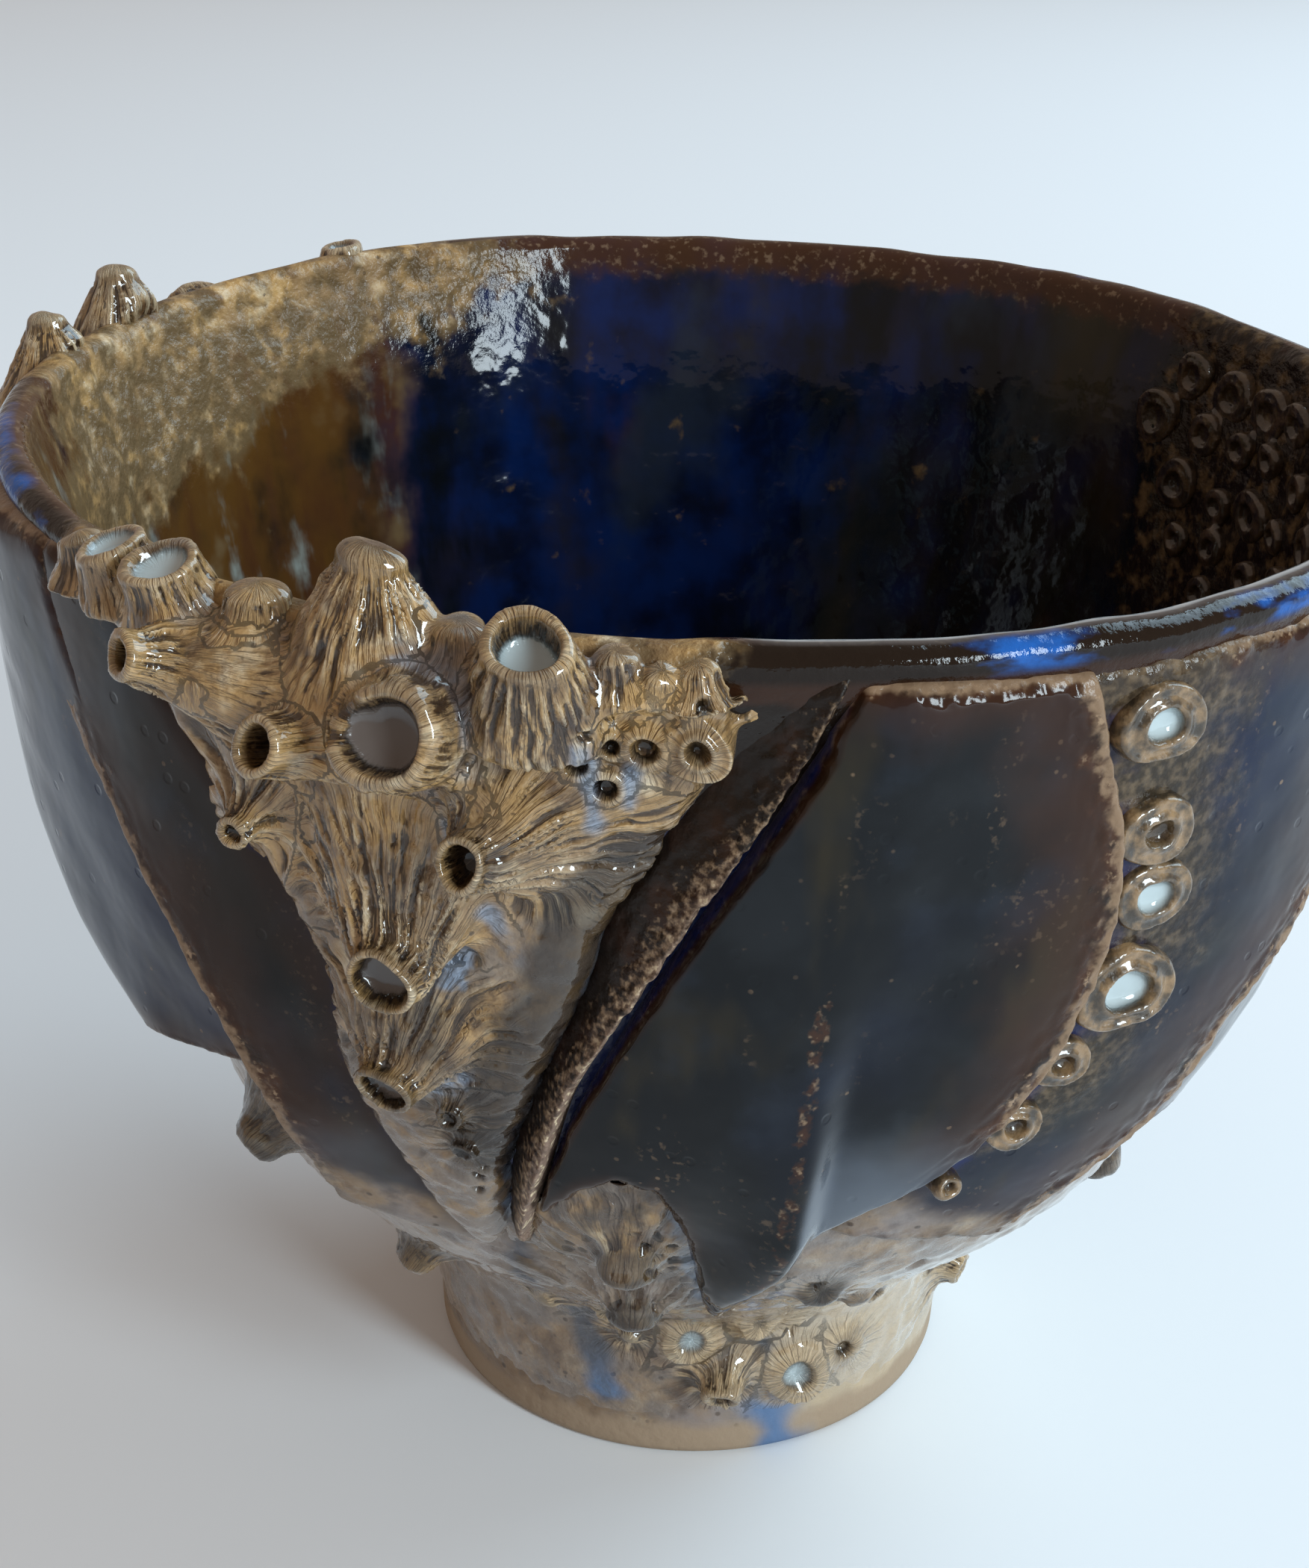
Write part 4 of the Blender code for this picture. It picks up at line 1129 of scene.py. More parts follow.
def pit_depth(points):
    angle, height, radius = polar(points)
    total = np.zeros(len(points))
    for pit_angle, pit_height, pit_radius in PITS:
        away = np.hypot(np.radians(angle - pit_angle) * radius, height - pit_height * MM) / (pit_radius * MM)
        total = np.maximum(total, 1 - smooth_step(0.35, 1.05, away))
    return total


def valley_beside_crust(points):
    """1 where the front crust thins out to a dark valley on its right side."""
    angle, height = polar(points)[:2]
    edge_angles, edge_heights = np.array(CRUSTS["front_crust"][1][::-1], float).T
    off = angle - np.interp(height / MM, edge_heights, edge_angles)
    return smooth_step(-8, -3, off) * smooth_step(106, 98, height / MM) * smooth_step(54, 64, height / MM)


print(len(PITS), "pits")

# %% [markdown]
# One function makes a group: it adds up the slabs and barnacles, fuses them with a voxel remesh, melts
# the joints while the mouths stay crisp, scores and crumbles the surface, and paints what the finish
# needs to know.

# %% Fuse, score and crumble one group
MOST_TRIANGLES = 190000
MELT = 8
RELIEF = 0.35 * MM


def cluster(name, names, voxel, slabs=(), foot=False):
    """Fuses the named barnacles with their crust, scores and crumbles them, and paints them."""
    bm = bmesh.new()
    for left, right in slabs:
        crust_slab(bm, left, right)
    if foot:
        foot_slab(bm)
    for barnacle_name in names:
        add_barnacle(bm, barnacle_name)
    piece = new_piece(name, bm)
    evaluated(piece, "REMESH", {"mode": "VOXEL", "voxel_size": voxel})
    mesh = piece.data
    points = smoothed(mesh, read_points(mesh), 3)
    melted = smoothed(mesh, points, round(MELT * MM / voxel))
    found = nearest_barnacle(points, names)
    flat_rings = names[0].startswith(("row", "inner"))
    low_down = smooth_step(0.85, 0.5, found["share"]) * (not flat_rings)
    melt = np.maximum(low_down, smooth_step(1 * MM, 2 * MM, found["gap"]))[:, None]
    points = points * (1 - melt) + melted * melt
    write_points(mesh, points)
    normals = point_normals(mesh)
    groove, shown = grooves(found, points)
    calm = 1 - found["hole"]
    push = -found["depth"] * shown * groove * calm
    rough = smooth_step(0.3 * MM, 2.5 * MM, found["gap"])
    push += calm * (0.16 * rough + 0.05) * MM * lumps(points, 1.5 * MM, 2)
    push += calm * 0.05 * MM * lumps(points, 0.8 * MM, 5)
    push -= PIT_DEPTH * pit_depth(points)
    points = points + normals * push[:, None]
    angle, height, radius = polar(points)
    if not names[0].startswith("inner"):
        floor = np.where(height < 115 * MM, inner_radius(height) + 1 * MM, 0)
        radius = np.maximum(radius, floor)
    write_points(mesh, placed(angle, height, radius))
    if triangles(mesh) > MOST_TRIANGLES:
        evaluated(piece, "DECIMATE", {"ratio": MOST_TRIANGLES / triangles(mesh)})
        mesh = piece.data
    mesh.shade_smooth()
    points = read_points(mesh)
    found = nearest_barnacle(points, names)
    groove, shown = grooves(found, points)
    wide = smoothed(mesh, points, 10)
    relief = np.einsum("ij,ij->i", points - wide, point_normals(mesh)) / RELIEF
    paint(mesh, "groove", groove * shown * (found["depth"] > 0))
    paint(mesh, "gap", found["gap"] / MM)
    paint(mesh, "hole", np.maximum(found["hole"], pit_depth(points)))
    paint(mesh, "pool", found["pool"])
    paint(mesh, "smoky", found["smoky"])
    paint(mesh, "inner_side", np.full(len(points), float(names[0].startswith("inner"))))
    paint(mesh, "rings", np.full(len(points), float(flat_rings)))
    paint(mesh, "grain", found["grain"])
    paint(mesh, "relief", np.clip(relief, -1, 1))
    paint(mesh, "valley", valley_beside_crust(points) * (name == "front_cluster"))
    print(name, triangles(mesh), "triangles")
    return piece


print("a group keeps at most", MOST_TRIANGLES, "triangles")

# %% [markdown]
# The bowl has seven groups. The front one and the rings beside it face the camera and get the finest mesh.
# Those at the foot, the sides and the back get a coarser one.

# %% The seven groups of barnacles


def named(prefix):
    return [n for n in BARNACLES if n.startswith(prefix)]


OFF_THE_CRUSTS = ("wall_left", "back_foot", "right_foot", "right_wall_lump")
FRONT_NAMES = list(BARNACLES)[: list(BARNACLES).index("row_a")]
PIECES["front_cluster"] = cluster("front_cluster", FRONT_NAMES, 0.29 * MM, [CRUSTS["front_crust"]])
PIECES["panel_row"] = cluster("panel_row", named("row_"), 0.26 * MM)
FOOT_NAMES = [*named("foot_"), *OFF_THE_CRUSTS]
PIECES["foot_cluster"] = cluster("foot_cluster", FOOT_NAMES, 0.5 * MM, foot=True)
BACK_NAMES = [n for n in named("back_") if n not in OFF_THE_CRUSTS]
BACK_CRUSTS = [CRUSTS["back_left_crust"]]
PIECES["back_left_cluster"] = cluster("back_left_cluster", BACK_NAMES, 0.48 * MM, BACK_CRUSTS)
RIGHT_NAMES = [n for n in named("right_") if n not in OFF_THE_CRUSTS]
PIECES["right_cluster"] = cluster("right_cluster", RIGHT_NAMES, 0.48 * MM, [CRUSTS["right_crust"]])
PIECES["rear_cluster"] = cluster("rear_cluster", named("rear_"), 0.4 * MM)
PIECES["inner_rings"] = cluster("inner_rings", named("inner_ring"), 0.32 * MM)
print(len(PIECES), "pieces so far")

# %% [markdown]
# Glaze runs off what stands proud, where the clay breaks through brown, and gathers in what lies low,
# where it turns dark and cobalt. A map of the bowl's outer height, blurred over a few millimetres, tells
# each point whether it is proud or low.

# %% How low or proud each point lies
MAP_ANGLES = 360
MAP_HEIGHTS = 128


def blurred(grid, times):
    for _ in range(times):
        grid = (np.roll(grid, 1, 0) + grid + np.roll(grid, -1, 0)) / 3
        above = np.concatenate([grid[:, 1:], grid[:, -1:]], 1)
        below = np.concatenate([grid[:, :1], grid[:, :-1]], 1)
        grid = (above + grid + below) / 3
    return grid


def map_cell(points):
    angle, height, radius = polar(points)
    row = np.round(angle * MAP_ANGLES / 360).astype(int) % MAP_ANGLES
    column = np.clip(np.round(height / MM).astype(int), 0, MAP_HEIGHTS - 1)
    return row, column, radius


def height_map():
    heights = np.minimum(np.arange(MAP_HEIGHTS) * MM, RIM_HEIGHT)
    grid = np.tile(wall_radius(heights), (MAP_ANGLES, 1))
    for name, piece in PIECES.items():
        if name != "inner_rings":
            row, column, radius = map_cell(read_points(piece.data))
            np.maximum.at(grid, (row, column), radius)
    return grid


OUTER = blurred(height_map(), 6)
print("outer map:", OUTER.shape, "cells, up to", round(float(OUTER.max()) / MM, 1), "mm from the axis")

# %% [markdown]
# Above the foot the slate glaze ends in a wavy line and milky glaze over clay takes over, with a few blue
# drips. The line and the drips are laid out by angle and height, and every piece has them painted on its
# points, so that they run on from one piece to the next.

# %% Paint the milk line, the blue drips and the height map
# The milk line, as degrees round the bowl and heights in mm
MILK_LINE = (
    (-180, 50), (-75, 50), (-52, 50), (-38, 54), (-28, 52), (-20, 47), (-14, 46), (-8, 47),
    (-4, 46), (-1, 40), (1, 31), (3.5, 32), (5.4, 40), (7, 47), (9, 53), (12, 57),
    (17, 58), (23, 54), (32, 47), (45, 45), (70, 46), (180, 50),
)
# The right side of the foot, painted paler where the window's light falls on it: its first and last angle and
# how softly it ends, in degrees
LIT_SIDE = (14, 110, 12)

# Drips of blue glaze: the angle and height that each starts at, those it ends at and its half width in mm
RUNS = (
    ((-8.4, 111.5), (-7.9, 103.5), 0.8),
    ((-5.6, 108.5), (-5.8, 105), 0.7),
    ((-15.2, 92.5), (-13.4, 88), 0.9),
    ((-17.8, 101), (-17, 97), 0.9),
    ((-19, 46), (-24, 26), 1.3),
    ((-24, 26), (-18, 9), 1.8),
    ((-17.5, 52), (-19, 45), 1.2),
    ((16, 7), (20, 1), 3),
    ((13, 24), (15, 9), 1),
    ((20, 34), (17, 26), 1.6),
)


def blue_runs(points):
    """1 in the drips of blue glaze on the front crust and the foot."""
    angle, height, radius = polar(points)
    total = np.zeros(len(points))
    for (a0, z0), (a1, z1), half_width in RUNS:
        t = np.clip((height / MM - z0) / (z1 - z0), 0, 1)
        across = np.radians(angle - a0 - (a1 - a0) * t) * radius / MM
        along = height / MM - z0 - (z1 - z0) * t
        away = np.hypot(across, along) / half_width + 0.6 * lumps(points, 3 * MM, 6)
        total = np.maximum(total, smooth_step(1.7, 0.3, away))
    return total


def milkiness(points):
    """1 below the line where the slate glaze ends, 0 above it."""
    angle, height = polar(points)[:2]
    line = np.interp(angle, *np.array(MILK_LINE, float).T) * MM
    return smooth_step(5.5 * MM, -5.5 * MM, height - line + 2 * MM * lumps(points, 7 * MM, 4))


for piece in PIECES.values():
    paint(piece.data, "milk", milkiness(read_points(piece.data)))
    paint(piece.data, "blue_run", blue_runs(read_points(piece.data)))
    angle, height, radius = polar(read_points(piece.data))
    # Painted light: the lit right side of the foot, low down
    paint(piece.data, "lit_side_paint", angle_band(angle, *LIT_SIDE) * smooth_step(38, 28, height / MM))
    row, column, radius = map_cell(read_points(piece.data))
    outer_face = smooth_step(0, 1, (radius - (inner_radius(column * MM) + 2 * MM)) / MM)
    low = np.clip((OUTER[row, column] - radius) / (2.5 * MM), -1, 1) * outer_face
    paint(piece.data, "low", smoothed(piece.data, np.stack([low, low, low], -1), 2)[:, 0])
print(len(RUNS), "blue drips")

# %% [markdown]
# Glaze colours are sums and products of masks. A small class lets a shader socket stand in a Python
# expression, so that the arithmetic reads as arithmetic and each operator adds its own Math node.

# %% Shader sockets as numbers


class Wire:
    """A shader socket that can be added, multiplied and compared in Python."""

    def __init__(self, finish, socket):
        self.finish = finish
        self.socket = socket

    def __add__(self, other):
        return self.finish.maths("ADD", self, other)

    def __radd__(self, other):
        return self.finish.maths("ADD", other, self)

    def __sub__(self, other):
        return self.finish.maths("SUBTRACT", self, other)

    def __rsub__(self, other):
        return self.finish.maths("SUBTRACT", other, self)

    def __mul__(self, other):
        return self.finish.maths("MULTIPLY", self, other)

    def __rmul__(self, other):
        return self.finish.maths("MULTIPLY", other, self)

    def step(self, low, high):
        """0 below low, 1 above high and smooth between; it falls instead where low is the larger."""
        settings = {"interpolation_type": "SMOOTHSTEP"}
        values = {"Value": self, "From Min": min(low, high), "From Max": max(low, high)}
        values.update({"To Min": float(low > high), "To Max": float(low <= high)})
        return self.finish.node("ShaderNodeMapRange", settings, values, "Result")

    def most(self, other):
        return self.finish.maths("MAXIMUM", self, other)


print("wires add, subtract and multiply, step and take the larger")

# %% [markdown]
# A finish is one material. Its short methods each add one kind of node: a blend of colours, clouds,
# specks or a painted value. Constants go straight on the sockets.

# %% One finish and its short ways to add nodes
GLAZE_IOR = 1.32
COAT_ROUGHNESS = 0.05
MM_PER_METRE = 1000


class Finish:
    """One material, and short ways to add nodes to it."""

    def __init__(self, name):
        self.material = bpy.data.materials.new(name)
        self.material.use_nodes = True
        self.tree = self.material.node_tree
        self.shader = self.tree.nodes["Principled BSDF"]
        self.place = self.node("ShaderNodeTexCoord", {}, {}, "Object")
        self.height = self.node("ShaderNodeSeparateXYZ", {}, {"Vector": self.place}, "Z") * MM_PER_METRE

    def node(self, kind, settings, values, output=0):
        node = self.tree.nodes.new(kind)
        for key, value in settings.items():
            setattr(node, key, value)
        for key, value in values.items():
            self.set(node.inputs[key], value)
        return Wire(self, node.outputs[output])

    def set(self, socket, value):
        if isinstance(value, Wire):
            self.tree.links.new(value.socket, socket)
        elif isinstance(value, tuple) and len(value) == 3 and socket.type == "RGBA":
            socket.default_value = (*value, 1)
        else:
            socket.default_value = value

    def maths(self, operation, a, b):
        return self.node("ShaderNodeMath", {"operation": operation}, {0: a, 1: b})

    def painted(self, name):
        return self.node("ShaderNodeAttribute", {"attribute_name": name}, {}, "Fac")

    def painted_place(self, name):
        return self.node("ShaderNodeAttribute", {"attribute_name": name}, {}, "Vector")

    def blend(self, factor, a, b):
        """Colour a where factor is 0 and colour b where it is 1."""
        settings = {"data_type": "RGBA", "clamp_factor": True}
        return self.node("ShaderNodeMix", settings, {0: factor, 6: a, 7: b}, 2)

    def stretched(self, scale):
        """The place multiplied by a vector, for streaks."""
        values = {0: self.place, 1: scale}
        return self.node("ShaderNodeVectorMath", {"operation": "MULTIPLY"}, values)

    def clouds(self, size, detail, place=None):
        """Noise from 0 to 1 with clouds about size mm across."""
        values = {"Vector": place or self.place, "Scale": MM_PER_METRE / size, "Detail": detail}
        return self.node("ShaderNodeTexNoise", {}, values, "Fac")

    def grain(self, scale, detail, place):
        """Noise in a space of its own, such as the one where a barnacle's grooves run straight."""
        values = {"Vector": place, "Scale": scale, "Detail": detail}
        return self.node("ShaderNodeTexNoise", {}, values, "Fac")

    def specks(self, size, amount):
        """Round specks about size mm across; amount is the share of cells that hold one."""
        values = {"Vector": self.place, "Scale": MM_PER_METRE / size}
        distance = self.node("ShaderNodeTexVoronoi", {"feature": "F1"}, values, "Distance")
        chosen = self.node("ShaderNodeTexVoronoi", {"feature": "F1"}, values, "Color")
        pick = self.node("ShaderNodeSeparateColor", {}, {0: chosen}, 0)
        return distance.step(0.42, 0.22) * pick.step(1 - amount, 1.02 - amount)

    def done(self, colour, roughness, bump, bump_depth, coat=0.0):
        """Links the finish; bump is a height from 0 to 1 and bump_depth what 1 means in mm."""
        self.shader.inputs["IOR"].default_value = GLAZE_IOR
        self.set(self.shader.inputs["Base Color"], colour)
        self.set(self.shader.inputs["Roughness"], roughness)
        self.set(self.shader.inputs["Coat Weight"], coat)
        self.shader.inputs["Coat Roughness"].default_value = COAT_ROUGHNESS
        values = {"Height": bump, "Distance": bump_depth * MM, "Strength": 1.0}
        self.set(self.shader.inputs["Normal"], self.node("ShaderNodeBump", {}, values, "Normal"))
        return self.material


print("glaze refracts by", GLAZE_IOR)

# %% [markdown]
# The bowl has two looks that run into each other. Glossy slate glaze is dark, with cobalt and olive
# clouds, and it breaks to rust brown with tan flecks at an edge. Buff clay is golden tan, brown in its
# grooves, and washed with a thin lavender-grey milk in its joints. Both are written once here and mixed
# by each material below.

# %% Colours of glaze and clay
SLATE = (0.003, 0.004, 0.0055)
SLATE_LIGHT = (0.0085, 0.0105, 0.013)
HAZE = (0.014, 0.02, 0.032)
NAVY = (0.0015, 0.0035, 0.013)
LEFT_NAVY = (0.0028, 0.01, 0.042)
RUN_GREY = (0.05, 0.062, 0.085)
RUN_BLUE = (0.05, 0.14, 0.3)
COBALT = (0.002, 0.011, 0.06)
SLIT_BLUE = (0.005, 0.016, 0.1)
# Bright blue on the rim: partly cobalt glaze and partly a painted reflection
COBALT_AND_REFLECTION_BLUE = (0.012, 0.095, 0.36)
OLIVE = (0.028, 0.021, 0.009)
UMBER = (0.035, 0.025, 0.015)
ROW_TAN = (0.14, 0.1, 0.06)
RUST = (0.05, 0.019, 0.008)
DEEP_RUST = (0.034, 0.013, 0.006)
# The grey of the painted sheen
SHEEN_GREY = (0.09, 0.106, 0.13)
DARK_BROWN = (0.011, 0.006, 0.0035)
TAN_FLECK = (0.27, 0.18, 0.11)
PINK_TAN = (0.2, 0.135, 0.1)
BUFF = (0.25, 0.158, 0.077)
GOLDEN = (0.42, 0.255, 0.098)
PALE = (0.56, 0.45, 0.3)
BARE_CLAY = (0.3, 0.225, 0.155)
GROOVE_BROWN = (0.03, 0.014, 0.006)
MILK = (0.17, 0.135, 0.11)
LAVENDER = (0.24, 0.215, 0.215)
SMOKY_GLASS = (0.1, 0.083, 0.075)
BLUE_MILK = (0.19, 0.25, 0.34)
POOL_WHITE = (0.42, 0.5, 0.52)
OCHRE = (0.075, 0.034, 0.008)
PURPLE_GREY = (0.011, 0.0105, 0.021)
LINER_BUFF = (0.115, 0.075, 0.036)
PALE_DRIP = (0.26, 0.31, 0.29)
# The pale colour of the painted highlight on the lip
LIP_HIGHLIGHT_WHITE = (0.55, 0.6, 0.63)


def slate_glaze(finish):
    """The slate colour with its clouds, before any breaking at edges."""
    colour = finish.blend(finish.clouds(9, 3).step(0.45, 0.72), SLATE, SLATE_LIGHT)
    navy = finish.painted("navy") + (finish.clouds(24, 2) - 0.5) * 2
    colour = finish.blend(navy.step(0.1, 1) * 0.85, colour, LEFT_NAVY)
    brown = finish.painted("brown") + (finish.clouds(8, 3) - 0.5) * 1.4
    colour = finish.blend(brown.step(0.5, 1.1), colour, DARK_BROWN)
    streaks = finish.clouds(10, 3, finish.stretched((1.0, 1.0, 0.4)))
    colour = finish.blend(streaks.step(0.56, 0.74) * 0.8, colour, OLIVE)
    colour = finish.blend(finish.clouds(12, 4).step(0.5, 0.7) * 0.7, colour, HAZE)
    dusty = finish.clouds(7, 3, finish.stretched((1.0, 1.0, 0.5))).step(0.55, 0.7)
    dust = finish.clouds(0.8, 2).step(0.56, 0.7) * dusty
    flecked = (finish.specks(0.75, 0.05) * finish.clouds(8, 2).step(0.5, 0.66)).most(dust * 0.5)
    return finish.blend(flecked * 0.5, colour, TAN_FLECK)


def buff_clay(finish):
    """Bare and thinly glazed clay, with golden and pale patches and iron specks."""
    colour = finish.blend(finish.clouds(7, 4).step(0.35, 0.65), BUFF, GOLDEN)
    colour = finish.blend(finish.clouds(3.5, 4).step(0.52, 0.75), colour, PALE)
    colour = finish.blend(finish.clouds(5, 4).step(0.52, 0.7) * 0.75, colour, RUST)
    return finish.blend(finish.specks(0.8, 0.06) * 0.7, colour, GROOVE_BROWN)


def broken_edge(finish, colour, shown, band, line):
    """A band of deep rust, tan crumbs where shown is near 1, and a pale line at the very edge, partly where
    the glaze breaks and partly a painted highlight.
    """
    colour = finish.blend(band * 0.85, colour, DEEP_RUST)
    crumbs = finish.clouds(0.8, 3).step(0.55, 0.68)
    rust = finish.blend(finish.clouds(4, 3).step(0.4, 0.7), RUST, DARK_BROWN)
    edge = finish.blend((crumbs * shown.step(0.25, 0.95)).most(line * 0.75), rust, TAN_FLECK)
    return finish.blend(shown.step(0.05, 0.7), colour, edge)


def milky_clay(finish):
    """Lavender-grey glaze, thin over buff clay: brown shows in patches, and white where it has run."""
    colour = finish.blend(finish.clouds(5, 5).step(0.38, 0.7) * 0.6, MILK, buff_clay(finish))
    colour = finish.blend(finish.clouds(9, 4).step(0.5, 0.75) * 0.7, colour, LAVENDER)
    colour = finish.blend(finish.clouds(4.5, 5).step(0.54, 0.72) * 0.6, colour, GROOVE_BROWN)
    colour = finish.blend(finish.specks(1.1, 0.08) * 0.7, colour, GROOVE_BROWN)
    # Painted light: the foot's right side turns pale where the window lights it
    colour = finish.blend(finish.painted("lit_side_paint") * 0.55, colour, PALE)
    run_colour = finish.blend(finish.height.step(16, 6), RUN_GREY, RUN_BLUE)
    return finish.blend(finish.painted("blue_run") * 0.85, colour, run_colour)


# %% [markdown]
# A panel is slate in its middle. Within a few millimetres of its edges the glaze thins and breaks to
# brown. Where a neighbour overhangs it the glaze has pooled to cobalt, and above the foot it fades into
# milky clay. The ridge beside the front panel is nearly bare: dark brown in its valley and crumbly
# pinkish tan on its crest.

# %% The panels' finish


def panel_finish():
    finish = Finish("slate_panel_glaze")
    from_edge, low = finish.painted("from_edge"), finish.painted("low")
    crest, streak = finish.painted("crest"), finish.painted("streak")
    ragged = from_edge + (finish.clouds(3, 3) - 0.5) * 5
    shown = ragged.step(3, 0.2)
    band = (from_edge + (finish.clouds(7, 3) - 0.5) * 7).step(9, 1)
    # The pale line at the very edge is partly tan glaze breaking and partly a painted highlight
    line = (from_edge + (finish.clouds(1.2, 3) - 0.5) * 2.6).step(1.7, 0.8)
    colour = broken_edge(finish, slate_glaze(finish), shown, band, line)
    row_clay = (finish.painted("row_clay") + (finish.clouds(3, 4) - 0.5) * 0.8).step(0.3, 0.9)
    speckled = finish.blend(finish.clouds(1, 3).step(0.38, 0.74), UMBER, ROW_TAN)
    colour = finish.blend(row_clay * 0.8, colour, speckled)
    dusting = streak + (finish.clouds(1.3, 4) - 0.5) * 2.4 + (finish.clouds(9, 2) - 0.5) * 1.5
    dust = finish.blend(finish.clouds(0.8, 2).step(0.5, 0.66), RUST, TAN_FLECK)
    colour = finish.blend(dusting.step(0.75, 1.35) * 0.7, colour, dust)
    pooled = (low + (finish.clouds(2.5, 2) - 0.5) * 0.5).step(0.35, 0.8)
    colour = finish.blend(pooled * 0.8, colour, SLIT_BLUE)
    # Painted sheen: grey right of the crease and low on the front left panel, standing for reflections
    flare = (finish.painted("flare") + (finish.clouds(9, 3) - 0.5) * 0.5).step(0.1, 0.95)
    colour = finish.blend(flare * 0.9, colour, SHEEN_GREY)
    crumbs = (crest + (finish.clouds(0.7, 3) - 0.5) * 1.7).step(0.55, 1.1)
    valley = finish.blend(finish.clouds(5, 3).step(0.45, 0.7) * 0.7, DARK_BROWN, DEEP_RUST)
    specked = finish.blend(finish.clouds(0.7, 2).step(0.55, 0.68), PINK_TAN, PALE)
    ridge = finish.blend(crumbs, valley, finish.blend(crest.step(0.6, 1.1), TAN_FLECK, specked))
    on_ridge = crest.step(0.02, 0.06)
    colour = finish.blend(on_ridge, colour, ridge)
    milk = (finish.painted("milk") + (finish.clouds(5, 3) - 0.5) * 0.5).step(0.25, 0.8)
    colour = finish.blend(milk, colour, milky_clay(finish))
    pinholes = finish.specks(1.7, 0.07)
    crumbly = shown * 0.5 + crest * 0.9 + milk * 0.3 + row_clay * 0.4
    bump = finish.clouds(6, 2) * 0.5 + finish.clouds(0.9, 3) * crumbly
    roughness = 0.07 + 0.22 * shown + 0.2 * on_ridge + 0.12 * milk
    return finish.done(colour, roughness, bump - pinholes * 0.15, 0.3)


PANEL_FINISH = panel_finish()
print("made", PANEL_FINISH.name)

# %% [markdown]
# The turned wall carries both worlds: outside it is buff at the foot and dark under the panels, and
# inside the glaze ran down the wall in cobalt, ochre and pale streaks over a beaten surface that breaks
# up every reflection.

# %% The wall's finish


def inside_glaze(finish):
    """Runs of colour down the inside: clouds squeezed along the height become vertical streaks."""
    run = finish.stretched((1.0, 1.0, 0.3))
    slow, quick, patch = finish.clouds(24, 3, run), finish.clouds(8, 4, run), finish.clouds(14, 4)
    colour = finish.blend(quick.step(0.45, 0.68), SLATE, PURPLE_GREY)
    colour = finish.blend(slow.step(0.5, 0.66) * 0.8, colour, OLIVE)
    colour = finish.blend(finish.clouds(12, 3, run).step(0.6, 0.74) * 0.7, colour, RUST)
    blue = finish.painted("cobalt") * 0.8 + (quick - 0.5) * 2.2 + (patch - 0.5) * 2.8
    blue_glaze = finish.blend(finish.clouds(9, 4).step(0.38, 0.7), COBALT, NAVY)
    colour = finish.blend(blue.step(0, 1.25), colour, blue_glaze)
    hazy = finish.clouds(15, 4, finish.stretched((1.0, 1.0, 0.7)))
    colour = finish.blend(hazy.step(0.54, 0.72) * 0.7, colour, HAZE)
    warm = finish.blend(quick.step(0.42, 0.66), OCHRE, RUST)
    warm = finish.blend(patch.step(0.5, 0.64), warm, LINER_BUFF)
    warm = finish.blend(finish.clouds(9, 4, run).step(0.6, 0.7) * 0.8, warm, NAVY)
    drip = finish.clouds(7, 5, finish.stretched((1.0, 1.0, 0.35))) + (finish.clouds(9, 4) - 0.5) * 0.6
    warm = finish.blend(drip.step(0.55, 0.76) * 0.85, warm, PALE_DRIP)
    ochre = finish.painted("ochre")
    warmth = ochre + (quick - 0.5) * 1.7 + (patch - 0.5) * 2.4
    return finish.blend(warmth.step(0.15, 0.9) * ochre.step(0, 0.35), colour, warm)


